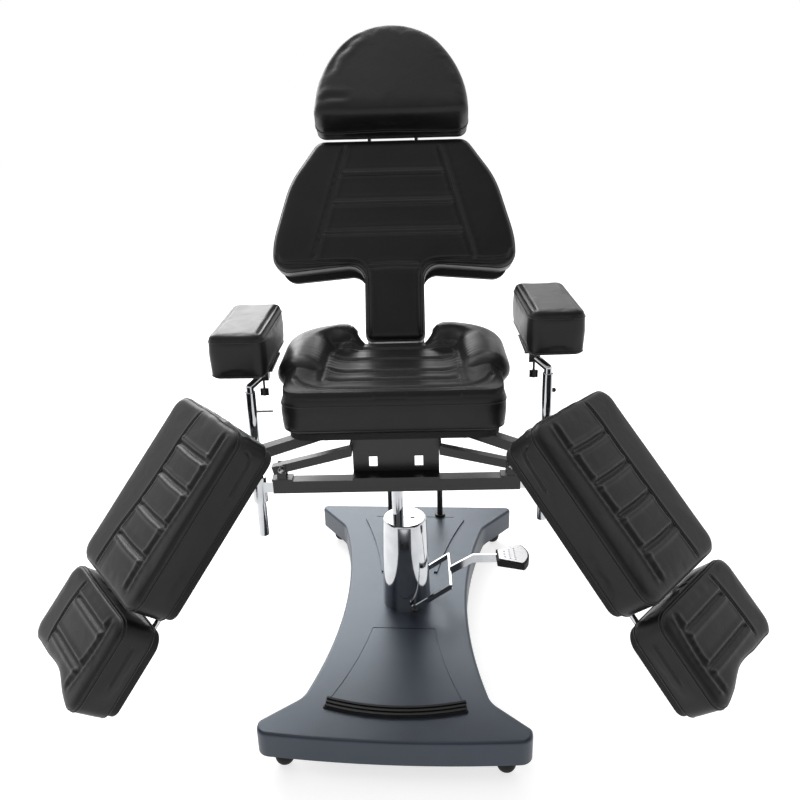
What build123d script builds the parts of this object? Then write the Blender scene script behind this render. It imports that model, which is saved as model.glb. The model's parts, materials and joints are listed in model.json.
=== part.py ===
from build123d import *
import os
from math import atan2, cos, degrees, hypot, radians, sin

# Tattoo chair: hourglass pump base, swivelling seat with split legs, reclining back, headrest
# and two armrests on poles. Millimetres. X to the viewer's right, the chair faces -Y, Z is up.
# The origin is on the floor under the piston's axis.

# Fits and small values that several pieces share. In each pad's layers, a height share comes with
# how far the outline is drawn in there
running_gap = 0.06
seat_gap = 0.3
overrun = 5.0
bar_width = 50.0
weld_edge = 1.0

# Base cover: a moulded hourglass shell
base_half_length = 460.0
base_end_half_width = 277.0
base_waist_half_width = 150.0
base_waist_y = 40.0
base_bow = 14.0
# Where the long waist curve meets the flare at each end, and where the flare meets the ear, each so far
# in from its end of the base
flare_front_half_width = 197.0
flare_rear_half_width = 198.0
flare_front_depth = 108.0
flare_rear_depth = 120.0
ear_front_depth = 36.0
ear_rear_depth = 20.0
flare_front = (flare_front_half_width, flare_front_depth - base_half_length)
flare_rear = (flare_rear_half_width, base_half_length - flare_rear_depth)
ear_front_y = ear_front_depth - base_half_length
ear_rear_y = base_half_length - ear_rear_depth
flare_radius = 60.0
ear_radius = 15.0
base_top_z = 100.0
base_skirt_z = 42.0
base_wall = 4.0
base_top_edge_radius = 7.0
base_corner_radius = 26.0
base_offset_x = 15.5
base_turn = -3.4
panel_front_half_width = 142.0
panel_rear_half_width = 72.0
panel_front_depth = 94.0
panel_front_y = panel_front_depth - base_half_length
panel_rear_y = -120.0
panel_pinch = 9.0
panel_line_width = 3.0
panel_line_depth = 1.0
rib_width = 9.0
rib_height = 4.0
rib_front_half_width = 68.0
rib_rear_half_width = 138.0
rib_front_y = 111.0
rib_rear_depth = 81.0
rib_rear_y = base_half_length - rib_rear_depth
rib_pinch = 8.0
rear_line_depth = 64.0
rear_line_y = base_half_length - rear_line_depth
rear_line_half_length = 112.0

# Steel frame under the cover, and the feet
base_rail_width = 40.0
rail_height = 30.0
rail_wall = 3.0
rail_spacing = 150.0
pump_plate_size = 190.0
pump_plate_thickness = 8.0
underplate_z = 50.0
underplate_thickness = 3.0
underplate_gap = 0.5
foot_half_spacing_x = 226.0
foot_end_depth = 27.0
foot_half_spacing_y = base_half_length - foot_end_depth
foot_ball_radius = 20.0
foot_height = 37.0
foot_stud_radius = 6.0
foot_sole_share = 0.05
foot_boss_radius = 18.0

# Tread strip: three rubber ridges on an arc
strip_half_width = 145.0
strip_depth = 32.0
strip_end_depth = 68.0
strip_centre_y = strip_end_depth - base_half_length
strip_bow = 22.0
strip_base_thickness = 2.5
strip_ridge_height = 3.5
strip_ridge_count = 3

# Carrying hoop behind the pump
hoop_half_width = 72.0
hoop_end_depth = 52.0
hoop_y = base_half_length - hoop_end_depth
hoop_rod_radius = 8.0
hoop_height = 130.0
hoop_bend_radius = 26.0
hoop_collar_radius = 15.0
hoop_collar_height = 7.0

# Hydraulic pump
piston_radius = 13.5
piston_bottom_z = 150.0
piston_top_z = 508.0
cylinder_radius = 31.0
cylinder_bore = 24.0
cylinder_top_z = 321.0
cylinder_floor = 8.0
bush_length = 62.0
shroud_top_radius = 51.0
shroud_bottom_radius = 59.0
shroud_wall = 2.0
shroud_top_z = 325.0
cap_thickness = 6.0
cap_edge_radius = 4.5
cap_screw_radius = 3.0
cap_screw_head = 2.0
cap_screw_x = 34.0

# Pump pedal: a fork of flat bar, a cranked arm and a fan-shaped pad
pedal_pivot_x = 35.0
pedal_pivot_z = 118.0
pedal_bar_width = 12.0
pedal_bar_thickness = 5.0
pedal_prong_y = 64.0
pedal_knee_x = 122.0
pedal_knee_z = 178.0
pedal_crank_x = 178.0
pedal_crank_z = 212.0
pedal_arm_end_x = 236.0
pedal_strap_height = 22.0
pedal_pad_inner_half = 24.0
pedal_pad_outer_half = 44.0
pedal_pad_length = 62.0
pedal_pad_bow = 16.0
pedal_pad_thickness = 16.0
pedal_face_thickness = 3.0
pedal_face_inset = 4.0
pedal_stud_radius = 1.9
pedal_stud_height = 1.0
pedal_stud_counts = (3, 5, 7)
pedal_stud_row_shares = (0.3, 0.5, 0.7)
pedal_stud_spread_share = 1.5
pedal_bolt_radius = 4.5
pedal_ball_radius = 7.0
pedal_ring_radius = 9.0

# Seat carrier and cross tube
hub_radius = 34.0
hub_bottom_z = 462.0
hub_floor = 9.0
plate = 5.0
carrier_half_width = 93.0
carrier_top_z = 586.0
carrier_front_y = -28.0
carrier_rear_y = 190.0
carrier_side_bottom_z = 520.0
front_plate_bottom_z = 462.0
window_width = 19.0
window_height = 26.0
window_z = 492.0
window_half_spacing = 52.0
tube_size = 30.0
tube_wall = 2.0
cross_tube_y = -48.0
cross_tube_z = 448.0
cross_tube_half_length = 279.0
brace_size = 20.0
brace_outer_x = 258.0
brace_outer_z = 492.0
brace_inner_z = 531.0
clevis_length = 46.0
clevis_ear = 4.0
dome_radius = 8.0
nut_share = 1.6

# Legs: swing pins, arms, pads and foot pads
leg_pivot_x = 158.0
leg_pivot_y = 0.0
leg_pin_radius = 8.0
leg_beam_half_length = 186.0
leg_beam_depth = 56.0
leg_beam_thickness = 8.0
arm_width = 24.0
arm_height = 24.0
arm_top_z = 572.0
arm_eye_radius = 19.0
knee_radius = 220.0
knee_z = 578.0
knee_pin_radius = 6.0
knee_barrel_radius = 12.0
knee_barrel_length = 34.0
pad_offset = -11.0
pad_start = -44.0
pad_rise = 16.0
leg_pad_length = 400.0
leg_pad_width = 287.0
leg_pad_thickness = 88.0
pad_corner_radius = 32.0
board_thickness = 15.0
board_inset = 9.0
leg_rail_spacing = 58.0
leg_rail_size = 15.0
leg_rail_length = 300.0
foot_gap = 12.0
foot_inner_length = 198.0
foot_outer_length = 175.0
foot_dip_length = 169.0
foot_dip_share = -0.1
foot_corner = 32.0
foot_toe_corner = 24.0
foot_width = 287.0
foot_thickness = 84.0
foot_rod_radius = 6.0
foot_rod_spacing = 150.0
foot_tube_radius = 9.0
foot_tube_length = 190.0
foot_rod_reach = 160.0
left_swing = 52.0
right_swing = 48.0
left_tilt = 48.0
right_tilt = 45.0
pad_layers = ((0.0, 7.0), (0.15, 2.0), (0.5, 0.0), (0.84, 2.0), (0.95, 7.0), (1.0, 18.0))
pad_panel_width = 140.0
pad_channel_count = 4
pad_channel_pitch = 70.0
foot_channel_shares = (0.36, 0.66)
foot_layers = ((0.0, 7.0), (0.15, 2.0), (0.5, 0.0), (0.84, 2.0), (0.95, 7.0), (1.0, 18.0))

# Seat cushion
seat_board_top_z = 601.0
seat_half_width = 246.0
seat_front_y = -130.0
seat_rear_y = 262.0
seat_thickness = 99.0
seat_front_corner = 42.0
seat_rear_corner = 88.0
notch_half_width = 86.0
notch_front_y = 212.0
bolster_half_width = 56.0
bolster_half_height = 42.0
bolster_x = 205.0
bolster_z = 702.0
bolster_front_y = -46.0
bolster_turn_radius = 74.0
bolster_overhang = 18.0
bolster_end_x = 92.0
bolster_end_edge = 26.0
seat_notch_corner = 12.0
seat_layers = ((0.0, 12.0), (0.12, 4.0), (0.5, 0.0), (0.8, 3.0), (0.94, 12.0), (1.0, 30.0))
seat_panel_half_width = 160.0
seat_channel_ys = (-52.0, 0.0, 80.0, 155.0)
seat_bolt_x = 205.0
seat_bolt_y = -78.0

# Backrest and headrest, drawn flat and then leaned back
back_foot_y = 233.0
back_foot_z = 690.0
back_lean = 26.0
recline_y = 302.0
recline_z = 612.0
back_stem_half = 77.0
back_wing_low = 178.0
back_stem_top = 198.0
back_wing_half = 309.0
back_wing_full = 262.0
back_shoulder_half = 264.0
back_shoulder = 418.0
back_top_half = 190.0
back_top = 524.0
back_thickness = 76.0
back_stem_corner = 38.0
back_wing_corner = 42.0
back_side_corner = 240.0
back_top_corner = 30.0
back_layers = ((0.0, 7.0), (0.2, 1.0), (0.6, 0.0), (0.88, 5.0), (1.0, 15.0))
back_channel_zs = (281.0, 356.0, 432.0)
back_panel_low = (202.0, 210.0)
back_panel_high = (117.0, 494.0)
hinge_pin_radius = 7.0
hinge_pin_half = 88.0
hinge_ear_x = 62.0
hinge_ear_radius = 17.0
hinge_plate = 6.0
back_rail_height = 34.0
head_half_width = 197.0
head_base_half = 178.0
head_height = 285.0
head_low = 541.0
head_thickness = 115.0
head_front = 76.0
head_tilt_rest = 16.0
head_rod_x = 62.0
head_rod_radius = 6.0
head_sleeve_radius = 9.5
head_sleeve_low = 330.0
head_sleeve_high = 505.0
head_rod_low = 345.0
head_rod_high = 640.0
head_belly_share = 0.1
head_crown_radius = 165.0
head_ear_share = 0.67
head_cheek = 8.0
head_layers = ((0.0, 10.0), (0.15, 3.0), (0.5, 0.0), (0.8, 3.0), (0.94, 12.0), (1.0, 28.0))

# Armrests
left_pole_x = 312.0
right_pole_x = 332.0
pole_y = -49.0
pole_radius = 11.0
holder_radius = 16.5
holder_height = 62.0
holder_drop = 24.0
plug_reach = 90.0
left_pole_bottom_z = 320.0
left_pole_top_z = 676.0
right_rise = 30.0
lock_drop = 46.0
lock_screw_radius = 2.5
lock_ball_radius = 5.0
left_lock_reach = 35.0
left_lock_turn = 180.0
right_lock_turn = 45.0
right_lock_reach = 14.0
neck_depth = 60.0
neck_elbow = 12.0
neck_rod_radius = 8.5
neck_run_x = 27.0
neck_run_y = 30.0
neck_rise = 17.0
clamp_size = 24.0
clamp_height = 20.0
arm_plate_length = 120.0
arm_plate_width = 44.0
arm_pad_length = 262.0
arm_pad_width = 122.0
arm_pad_thickness = 98.0
left_arm_x = 327.0
right_arm_x = 347.0
left_arm_front_y = -92.0
right_arm_front_y = -68.0
arm_turn = 1.5
arm_pad_corner = 18.0
knob_screw_radius = 2.5
knob_drop = 36.0
knob_height = 16.0
knob_wing_half = 9.0
knob_wing_thickness = 5.0
knob_hub_radius = 4.5
channel_radius = 6.0
channel_depth = 4.0
arm_layers = ((0.0, 3.0), (0.1, 1.0), (0.5, 0.0), (0.87, 2.0), (0.97, 6.0), (1.0, 13.0))

sides = {"left": -1, "right": 1}


def block(x0, x1, y0, y1, z0, z1):
    """A box between two corners."""
    middle = ((x0 + x1) / 2, (y0 + y1) / 2, (z0 + z1) / 2)
    return Pos(*middle) * Box(abs(x1 - x0), abs(y1 - y0), abs(z1 - z0))


def post(radius, x, y, z0, z1):
    """An upright cylinder."""
    return Pos(x, y, (z0 + z1) / 2) * Cylinder(radius, z1 - z0)


def bar_x(radius, x0, x1, y, z):
    """A cylinder along X."""
    return Pos((x0 + x1) / 2, y, z) * Rot(0, 90, 0) * Cylinder(radius, x1 - x0)


def bar_y(radius, x, y0, y1, z):
    """A cylinder along Y."""
    return Pos(x, (y0 + y1) / 2, z) * Rot(90, 0, 0) * Cylinder(radius, y1 - y0)


def tube_z(outer, inner, x, y, z0, z1):
    """An upright tube."""
    return post(outer, x, y, z0, z1) - post(inner, x, y, z0 - overrun, z1 + overrun)


def square_tube_x(size, wall, x0, x1, y, z):
    """A square tube along X, open at both ends."""
    half = size / 2
    inner = half - wall
    solid = block(x0, x1, y - half, y + half, z - half, z + half)
    return solid - block(x0 - overrun, x1 + overrun, y - inner, y + inner, z - inner, z + inner)


def cushion(outline, thickness, layers):
    """A crowned pad: the outline at each height share, drawn in by its inset."""
    faces = [Pos(0, 0, share * thickness) * outline(inset) for share, inset in layers]
    return loft([face.face() for face in faces])


def channel(x, y, z, length, turn):
    """The cutter for one sewn channel across a pad's top."""
    lift = channel_radius - channel_depth
    return Pos(x, y, z + lift) * Rot(0, 90, turn) * Cylinder(channel_radius, length)


def mirrored(shape, side):
    """The right-hand piece as it is, or its mirror image for the left."""
    return shape if side > 0 else mirror(shape, about=Plane.YZ)


def on_base(shape):
    """Base pieces are drawn about the base's own middle line."""
    return Pos(base_offset_x, 0, 0) * Rot(0, 0, base_turn) * shape


# Base
def base_outline(inset):
    """The hourglass: a bowed front, an ear at each corner, a flare, and one long curve at the waist."""
    end = base_end_half_width
    waist = (base_waist_half_width, base_waist_y)
    front_y = -base_half_length
    rear_y = base_half_length
    edges = [ThreePointArc((-end, front_y), (0, front_y - base_bow), (end, front_y))]
    for side in (1, -1):
        points = [(end, front_y), (end, ear_front_y), flare_front]
        points += [waist, flare_rear, (end, ear_rear_y), (end, rear_y)]
        points = [(side * x, y) for x, y in points]
        edges += [Line(points[0], points[1]), Line(points[1], points[2])]
        edges += [ThreePointArc(points[2], points[3], points[4])]
        edges += [Line(points[4], points[5]), Line(points[5], points[6])]
    edges.append(Line((-end, rear_y), (end, rear_y)))
    outline = make_face(edges)
    places = (
        (flare_front, flare_radius),
        (flare_rear, flare_radius),
        ((end, ear_front_y), ear_radius),
        ((end, ear_rear_y), ear_radius),
        ((end, front_y), base_corner_radius),
        ((end, rear_y), base_corner_radius / 2),
    )
    for (x, y), radius in places:
        near = [v for v in outline.vertices() if hypot(abs(v.X) - x, v.Y - y) < weld_edge]
        outline = fillet(near, radius)
    return offset(outline, -inset) if inset else outline


def pinched_line(front_half, rear_half, front_y, rear_y, pinch, side):
    """A gently curved line from front to rear on one side of the middle."""
    middle_x = (front_half + rear_half) / 2 - pinch
    return ThreePointArc(
        (side * front_half, front_y), (side * middle_x, (front_y + rear_y) / 2), (side * rear_half, rear_y)
    )


def line_band(curve, width, height, z):
    """A flat band of one width along a curve."""
    return extrude(Pos(0, 0, z) * trace(curve, line_width=width), height)


def base_cover():
    height = base_top_z - base_skirt_z
    shell = extrude(Pos(0, 0, base_skirt_z) * base_outline(0), height)
    top_edges = shell.faces().sort_by(Axis.Z)[-1].edges()
    shell = fillet(top_edges, base_top_edge_radius)
    inner = Pos(0, 0, base_skirt_z - overrun) * base_outline(base_wall)
    hollow = extrude(inner, height + overrun - base_wall)
    shell -= hollow
    panel_args = (panel_front_half_width, panel_rear_half_width, panel_front_y, panel_rear_y, panel_pinch)
    rib_args = (rib_front_half_width, rib_rear_half_width, rib_front_y, rib_rear_y, rib_pinch)
    cut_z = base_top_z - panel_line_depth
    lines = [pinched_line(*panel_args, side) for side in sides.values()]
    lines.append(Line((-panel_rear_half_width, panel_rear_y), (panel_rear_half_width, panel_rear_y)))
    lines.append(Line((-rear_line_half_length, rear_line_y), (rear_line_half_length, rear_line_y)))
    for curve in lines:
        shell -= line_band(curve, panel_line_width, overrun, cut_z)
    for side in sides.values():
        rib = pinched_line(*rib_args, side)
        shell += line_band(rib, rib_width, rib_height + weld_edge, base_top_z - weld_edge)
    shell = on_base(shell)
    shell -= post(cylinder_radius + weld_edge, 0, 0, base_skirt_z, base_top_z + overrun)
    hoop_hole = hoop_rod_radius + running_gap
    for side in sides.values():
        shell -= on_base(post(hoop_hole, side * hoop_half_width, hoop_y, base_skirt_z, base_top_z + overrun))
    return shell


def rail_tube(x0, x1, y0, y1, along_y):
    """A rectangular steel tube lying between two corners, open at its ends."""
    top = base_top_z - base_wall
    low = top - rail_height
    w = rail_wall
    if along_y:
        hollow = block(x0 + w, x1 - w, y0 - overrun, y1 + overrun, low + w, top - w)
    else:
        hollow = block(x0 - overrun, x1 + overrun, y0 + w, y1 - w, low + w, top - w)
    return block(x0, x1, y0, y1, low, top), hollow


def base_frame():
    """Two long rails, two cross rails, the pump's plate and the feet's bosses, welded."""
    low = base_top_z - base_wall - rail_height
    half = rail_spacing / 2
    cross_y = foot_half_spacing_y
    rail_half = base_rail_width / 2
    reach = foot_half_spacing_x + rail_half
    tubes = []
    for side in sides.values():
        x = side * half
        inner = cross_y - rail_half
        tubes.append(rail_tube(x - rail_half, x + rail_half, -inner, inner, True))
        y = side * cross_y
        tubes.append(rail_tube(-reach, reach, y - rail_half, y + rail_half, False))
    frame = tubes[0][0].fuse(*[outer for outer, hollow in tubes[1:]])
    for outer, hollow in tubes:
        frame -= hollow
    size = pump_plate_size / 2
    frame += block(-size, size, -size, size, low - pump_plate_thickness, low)
    for x in (-foot_half_spacing_x, foot_half_spacing_x):
        for y in (-foot_half_spacing_y, foot_half_spacing_y):
            frame += post(foot_boss_radius, x, y, foot_height + rail_wall, base_top_z - base_wall)
            frame -= post(foot_stud_radius + running_gap, x, y, 0, base_top_z - base_wall - rail_wall)
    hoop_hole = hoop_rod_radius + running_gap
    for side in sides.values():
        top = base_top_z - base_wall
        socket = hoop_rod_radius + rail_wall
        x = side * hoop_half_width
        frame += post(socket, x, hoop_y, low, top)
        frame -= post(hoop_hole, x, hoop_y, low + rail_wall, top + overrun)
    return on_base(frame)


def base_underplate():
    """A steel sheet that closes the cover from below, clear of the feet's bosses."""
    sheet = extrude(Pos(0, 0, underplate_z) * base_outline(base_wall + underplate_gap), underplate_thickness)
    for x in (-foot_half_spacing_x, foot_half_spacing_x):
        for y in (-foot_half_spacing_y, foot_half_spacing_y):
            hole = foot_boss_radius + underplate_gap
            sheet -= post(hole, x, y, underplate_z - overrun, underplate_z + underplate_thickness + overrun)
    return on_base(sheet)


def levelling_feet():
    feet = []
    for x in (-foot_half_spacing_x, foot_half_spacing_x):
        for y in (-foot_half_spacing_y, foot_half_spacing_y):
            ball = Pos(x, y, foot_ball_radius) * Sphere(foot_ball_radius)
            flat = foot_ball_radius * 2
            sole = foot_ball_radius * foot_sole_share
            ball -= Pos(x, y, 0) * Box(flat, flat, sole * 2)
            ball -= block(x - flat, x + flat, y - flat, y + flat, foot_height, foot_height + flat)
            stud = post(foot_stud_radius, x, y, foot_height - overrun, base_top_z - base_wall - rail_wall)
            feet.append(on_base(Pos(0, 0, -sole) * (ball + stud)))
    return Compound(feet)


def tread_strip():
    """A rubber strip on an arc, with three ridges."""
    y = strip_centre_y
    ends_y = y + strip_bow
    middle = ThreePointArc((-strip_half_width, ends_y), (0, y), (strip_half_width, ends_y))
    strip = line_band(middle, strip_depth, strip_base_thickness, base_top_z)
    pitch = strip_depth / strip_ridge_count
    for number in range(strip_ridge_count):
        shift = (number - (strip_ridge_count - 1) / 2) * pitch
        curve = Pos(0, shift, 0) * middle
        strip += line_band(curve, pitch / 2, strip_base_thickness + strip_ridge_height, base_top_z)
    return on_base(strip)


def carry_hoop():
    """A bent rod with a flanged collar at each foot."""
    low = base_top_z - base_wall - rail_height + rail_wall
    high = base_top_z + hoop_height
    points = [(-hoop_half_width, hoop_y, low), (-hoop_half_width, hoop_y, high)]
    points += [(hoop_half_width, hoop_y, high), (hoop_half_width, hoop_y, low)]
    path = FilletPolyline(*points, radius=hoop_bend_radius)
    rod = sweep(Plane(points[0], z_dir=(0, 0, 1)) * Circle(hoop_rod_radius), path)
    for side in sides.values():
        collar_top = base_top_z + hoop_collar_height
        rod += post(hoop_collar_radius, side * hoop_half_width, hoop_y, base_top_z, collar_top)
    return on_base(rod)


# Pump
def pump_shroud():
    centre = base_offset_x
    height = shroud_top_z - base_top_z
    middle = Pos(centre, 0, (shroud_top_z + base_top_z) / 2)
    outer = middle * Cone(shroud_bottom_radius, shroud_top_radius, height)
    inner = middle * Cone(shroud_bottom_radius - shroud_wall, shroud_top_radius - shroud_wall, height)
    shell = outer - inner
    for side in (-1, 1):
        shell -= pedal_bolt_shank(side, running_gap)
    return shell


def pump_cap():
    top = shroud_top_z + cap_thickness
    cap = post(shroud_top_radius, base_offset_x, 0, shroud_top_z, top)
    cap = fillet(cap.edges().sort_by(Axis.Z)[-1], cap_edge_radius)
    cap -= post(piston_radius + seat_gap, 0, 0, shroud_top_z - overrun, top + overrun)
    cap -= post(cap_screw_radius, cap_screw_x, 0, shroud_top_z - overrun, top + overrun)
    return cap


def cap_screw():
    top = shroud_top_z + cap_thickness
    screw = post(cap_screw_radius, cap_screw_x, 0, shroud_top_z, top)
    return screw + post(cap_screw_radius * 2, cap_screw_x, 0, top, top + cap_screw_head)


def cylinder_base_z():
    return base_top_z - base_wall - rail_height


def pump_cylinder():
    low = cylinder_base_z()
    body = post(cylinder_radius, 0, 0, low, cylinder_top_z)
    body -= post(cylinder_bore, 0, 0, low + cylinder_floor, cylinder_top_z + overrun)
    for side in (-1, 1):
        body -= pedal_bolt_shank(side, running_gap)
    return body


def guide_bush():
    low = cylinder_top_z - bush_length
    return tube_z(cylinder_bore, piston_radius + running_gap, 0, 0, low, cylinder_top_z)


def pedal_bolt_shank(side, gap):
    """The bolt's plain shank, from the cylinder's wall out to the prong."""
    start = cylinder_radius - cylinder_bore
    reach = pedal_prong_y + pedal_bar_thickness
    inner = cylinder_bore + start / 2
    low = min(side * inner, side * reach)
    high = max(side * inner, side * reach)
    return bar_y(pedal_bolt_radius + gap, pedal_pivot_x, low, high, pedal_pivot_z)


def pedal_pivot_bolts():
    bolts = []
    for side in (-1, 1):
        reach = side * (pedal_prong_y + pedal_bar_thickness)
        shank = pedal_bolt_shank(side, 0)
        ball_y = reach + side * pedal_ball_radius / 2
        ball = Pos(pedal_pivot_x, ball_y, pedal_pivot_z) * Sphere(pedal_ball_radius)
        keep = block(
            pedal_pivot_x - pedal_ball_radius,
            pedal_pivot_x + pedal_ball_radius,
            reach + side * seat_gap,
            reach + side * pedal_ball_radius * 2,
            pedal_pivot_z - pedal_ball_radius,
            pedal_pivot_z + pedal_ball_radius,
        )
        near, far = sorted((reach, reach + side * weld_edge))
        neck = bar_y(pedal_bolt_radius, pedal_pivot_x, near, far, pedal_pivot_z)
        bolts.append(shank + neck + (ball & keep))
    return Compound(bolts)


# Pedal
def pedal_lever():
    """Two prongs from ring eyes, a cross bar, and the cranked strap that carries the pad."""
    rise = pedal_knee_z - pedal_pivot_z
    run = pedal_knee_x - pedal_pivot_x
    slope = degrees(atan2(rise, run))
    length = hypot(rise, run)
    thick = pedal_bar_thickness
    pieces = []
    for side in (-1, 1):
        y = side * (pedal_prong_y + thick / 2)
        ring = bar_y(pedal_ring_radius, pedal_pivot_x, y - thick / 2, y + thick / 2, pedal_pivot_z)
        prong = Pos(pedal_pivot_x, y, pedal_pivot_z) * Rot(0, -slope, 0) * Pos(length / 2, 0, 0)
        pieces.append(ring + prong * Box(length, thick, pedal_bar_width))
    half = pedal_prong_y + thick
    half_bar = pedal_bar_width / 2
    near, far = pedal_knee_x - thick / 2, pedal_knee_x + thick / 2
    bridge = block(near, far, -half, half, pedal_knee_z - half_bar, pedal_knee_z + half_bar)
    strap_half = pedal_strap_height / 2
    rise_2 = pedal_crank_z - pedal_knee_z
    run_2 = pedal_crank_x - pedal_knee_x
    lower = make_face(
        Polyline(
            (pedal_knee_x, pedal_knee_z - strap_half),
            (pedal_crank_x, pedal_crank_z - strap_half),
            (pedal_arm_end_x, pedal_crank_z - strap_half),
            (pedal_arm_end_x, pedal_crank_z + strap_half),
            (pedal_crank_x, pedal_crank_z + strap_half),
            (pedal_knee_x, pedal_knee_z + strap_half),
            (pedal_knee_x, pedal_knee_z - strap_half),
        )
    )
    strap = Pos(0, thick / 2, 0) * Rot(90, 0, 0) * extrude(lower, thick)
    lever = pieces[0].fuse(pieces[1], bridge, strap)
    for side in (-1, 1):
        y = side * (pedal_prong_y + thick / 2)
        lever -= bar_y(pedal_bolt_radius + running_gap, pedal_pivot_x, y - thick, y + thick, pedal_pivot_z)
    return lever


def fan_face(inset):
    """The pedal pad's fan, narrow towards the arm."""
    x0 = pedal_arm_end_x + inset
    x1 = pedal_arm_end_x + pedal_pad_length - inset
    inner = pedal_pad_inner_half - inset
    outer = pedal_pad_outer_half - inset
    edges = [
        Line((x0, inner), (x0, -inner)),
        Line((x0, -inner), (x1, -outer)),
        ThreePointArc((x1, -outer), (x1 + pedal_pad_bow, 0), (x1, outer)),
        Line((x1, outer), (x0, inner)),
    ]
    return make_face(Curve() + edges)


def pedal_pad():
    low = pedal_crank_z - pedal_pad_thickness / 2
    return extrude(Pos(0, 0, low) * fan_face(0), pedal_pad_thickness)


def pedal_face():
    """A metal face with rows of small studs."""
    low = pedal_crank_z + pedal_pad_thickness / 2
    face = extrude(Pos(0, 0, low) * fan_face(pedal_face_inset), pedal_face_thickness)
    rows = len(pedal_stud_counts)
    for row, count in enumerate(pedal_stud_counts):
        x = pedal_arm_end_x + pedal_pad_length * pedal_stud_row_shares[row]
        spread = pedal_pad_inner_half + (pedal_pad_outer_half - pedal_pad_inner_half) * row / rows
        for number in range(count):
            y = (number - (count - 1) / 2) * spread * pedal_stud_spread_share / count
            top = low + pedal_face_thickness
            face += post(pedal_stud_radius, x, y, top, top + pedal_stud_height)
    return face


# Piston and seat carrier
def piston_rod():
    return post(piston_radius, 0, 0, piston_bottom_z, piston_top_z)


def swivel_hub():
    top = carrier_top_z - plate
    hub = post(hub_radius, 0, 0, hub_bottom_z, top)
    hub -= post(piston_radius + running_gap, 0, 0, hub_bottom_z - overrun, piston_top_z + seat_gap)
    hub -= block(-hub_radius, hub_radius, -hub_radius, carrier_front_y + plate, hub_bottom_z, top)
    return hub


def seat_carrier():
    """The top plate and the two side walls that hang from it."""
    half = carrier_half_width + plate
    plates = [block(-half, half, carrier_front_y, carrier_rear_y, carrier_top_z - plate, carrier_top_z)]
    for side in sides.values():
        inner = side * carrier_half_width
        wall_low = carrier_side_bottom_z
        front = carrier_front_y + plate
        plates.append(block(inner, side * half, front, carrier_rear_y, wall_low, carrier_top_z - plate))
    return Compound(plates + [carrier_front()])


def carrier_front():
    """The plate with slots that stands on the cross tube, in front of the hub."""
    half = carrier_half_width + plate
    front = block(
        -half, half, carrier_front_y, carrier_front_y + plate, front_plate_bottom_z, carrier_top_z - plate
    )
    for side in sides.values():
        x = side * window_half_spacing
        front -= block(
            x - window_width / 2,
            x + window_width / 2,
            carrier_front_y - overrun,
            carrier_front_y + plate + overrun,
            window_z - window_height / 2,
            window_z + window_height / 2,
        )
    foot_y = cross_tube_y - tube_size / 2
    tube_top = cross_tube_z + tube_size / 2
    front += block(-half, half, foot_y, carrier_front_y + plate, tube_top, tube_top + plate)
    return front


def cross_tube():
    half = cross_tube_half_length
    return square_tube_x(tube_size, tube_wall, -half, half, cross_tube_y, cross_tube_z)


def brace_clevises():
    """A foot plate and two ears on the cross tube for each brace."""
    tube_top = cross_tube_z + tube_size / 2
    clevises = []
    gap = brace_size / 2 + seat_gap
    for side in sides.values():
        x = side * brace_outer_x
        y = cross_tube_y
        reach = clevis_length / 2
        half = tube_size / 2
        shape = block(x - reach, x + reach, y - half, y + half, tube_top, tube_top + plate)
        for way in (-1, 1):
            near = y + way * gap
            far = y + way * (gap + clevis_ear)
            ear_half = brace_size / 2
            shape += block(x - ear_half, x + ear_half, near, far, tube_top, brace_outer_z + ear_half)
        shape -= bar_y(knee_pin_radius + running_gap, x, y - tube_size, y + tube_size, brace_outer_z)
        clevises.append(shape)
    return Compound(clevises)


def side_braces():
    """Square bars from the clevises up to the carrier's sides."""
    braces = []
    half = brace_size / 2
    inner_x = carrier_half_width + plate
    for side in sides.values():
        run = inner_x - brace_outer_x
        rise = brace_inner_z - brace_outer_z
        length = hypot(run, rise)
        slope = degrees(atan2(rise, -run))
        bar = Pos(brace_outer_x, cross_tube_y, brace_outer_z) * Rot(0, slope, 0)
        bar *= Pos(-length / 2 + half / 2, 0, 0)
        shape = bar * Box(length + half * 3, brace_size, brace_size)
        cut = inner_x
        y0, y1 = cross_tube_y - brace_size, cross_tube_y + brace_size
        shape -= block(-cut, cut, y0, y1, brace_outer_z, carrier_top_z)
        tab_end = carrier_front_y + brace_size
        low, high = brace_inner_z - half, brace_inner_z + half
        shape += block(cut, cut + plate, cross_tube_y - half, tab_end, low, high)
        shape -= bar_y(knee_pin_radius + running_gap, brace_outer_x, y0, y1, brace_outer_z)
        braces.append(mirrored(shape, side))
    return Compound(braces)


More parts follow.
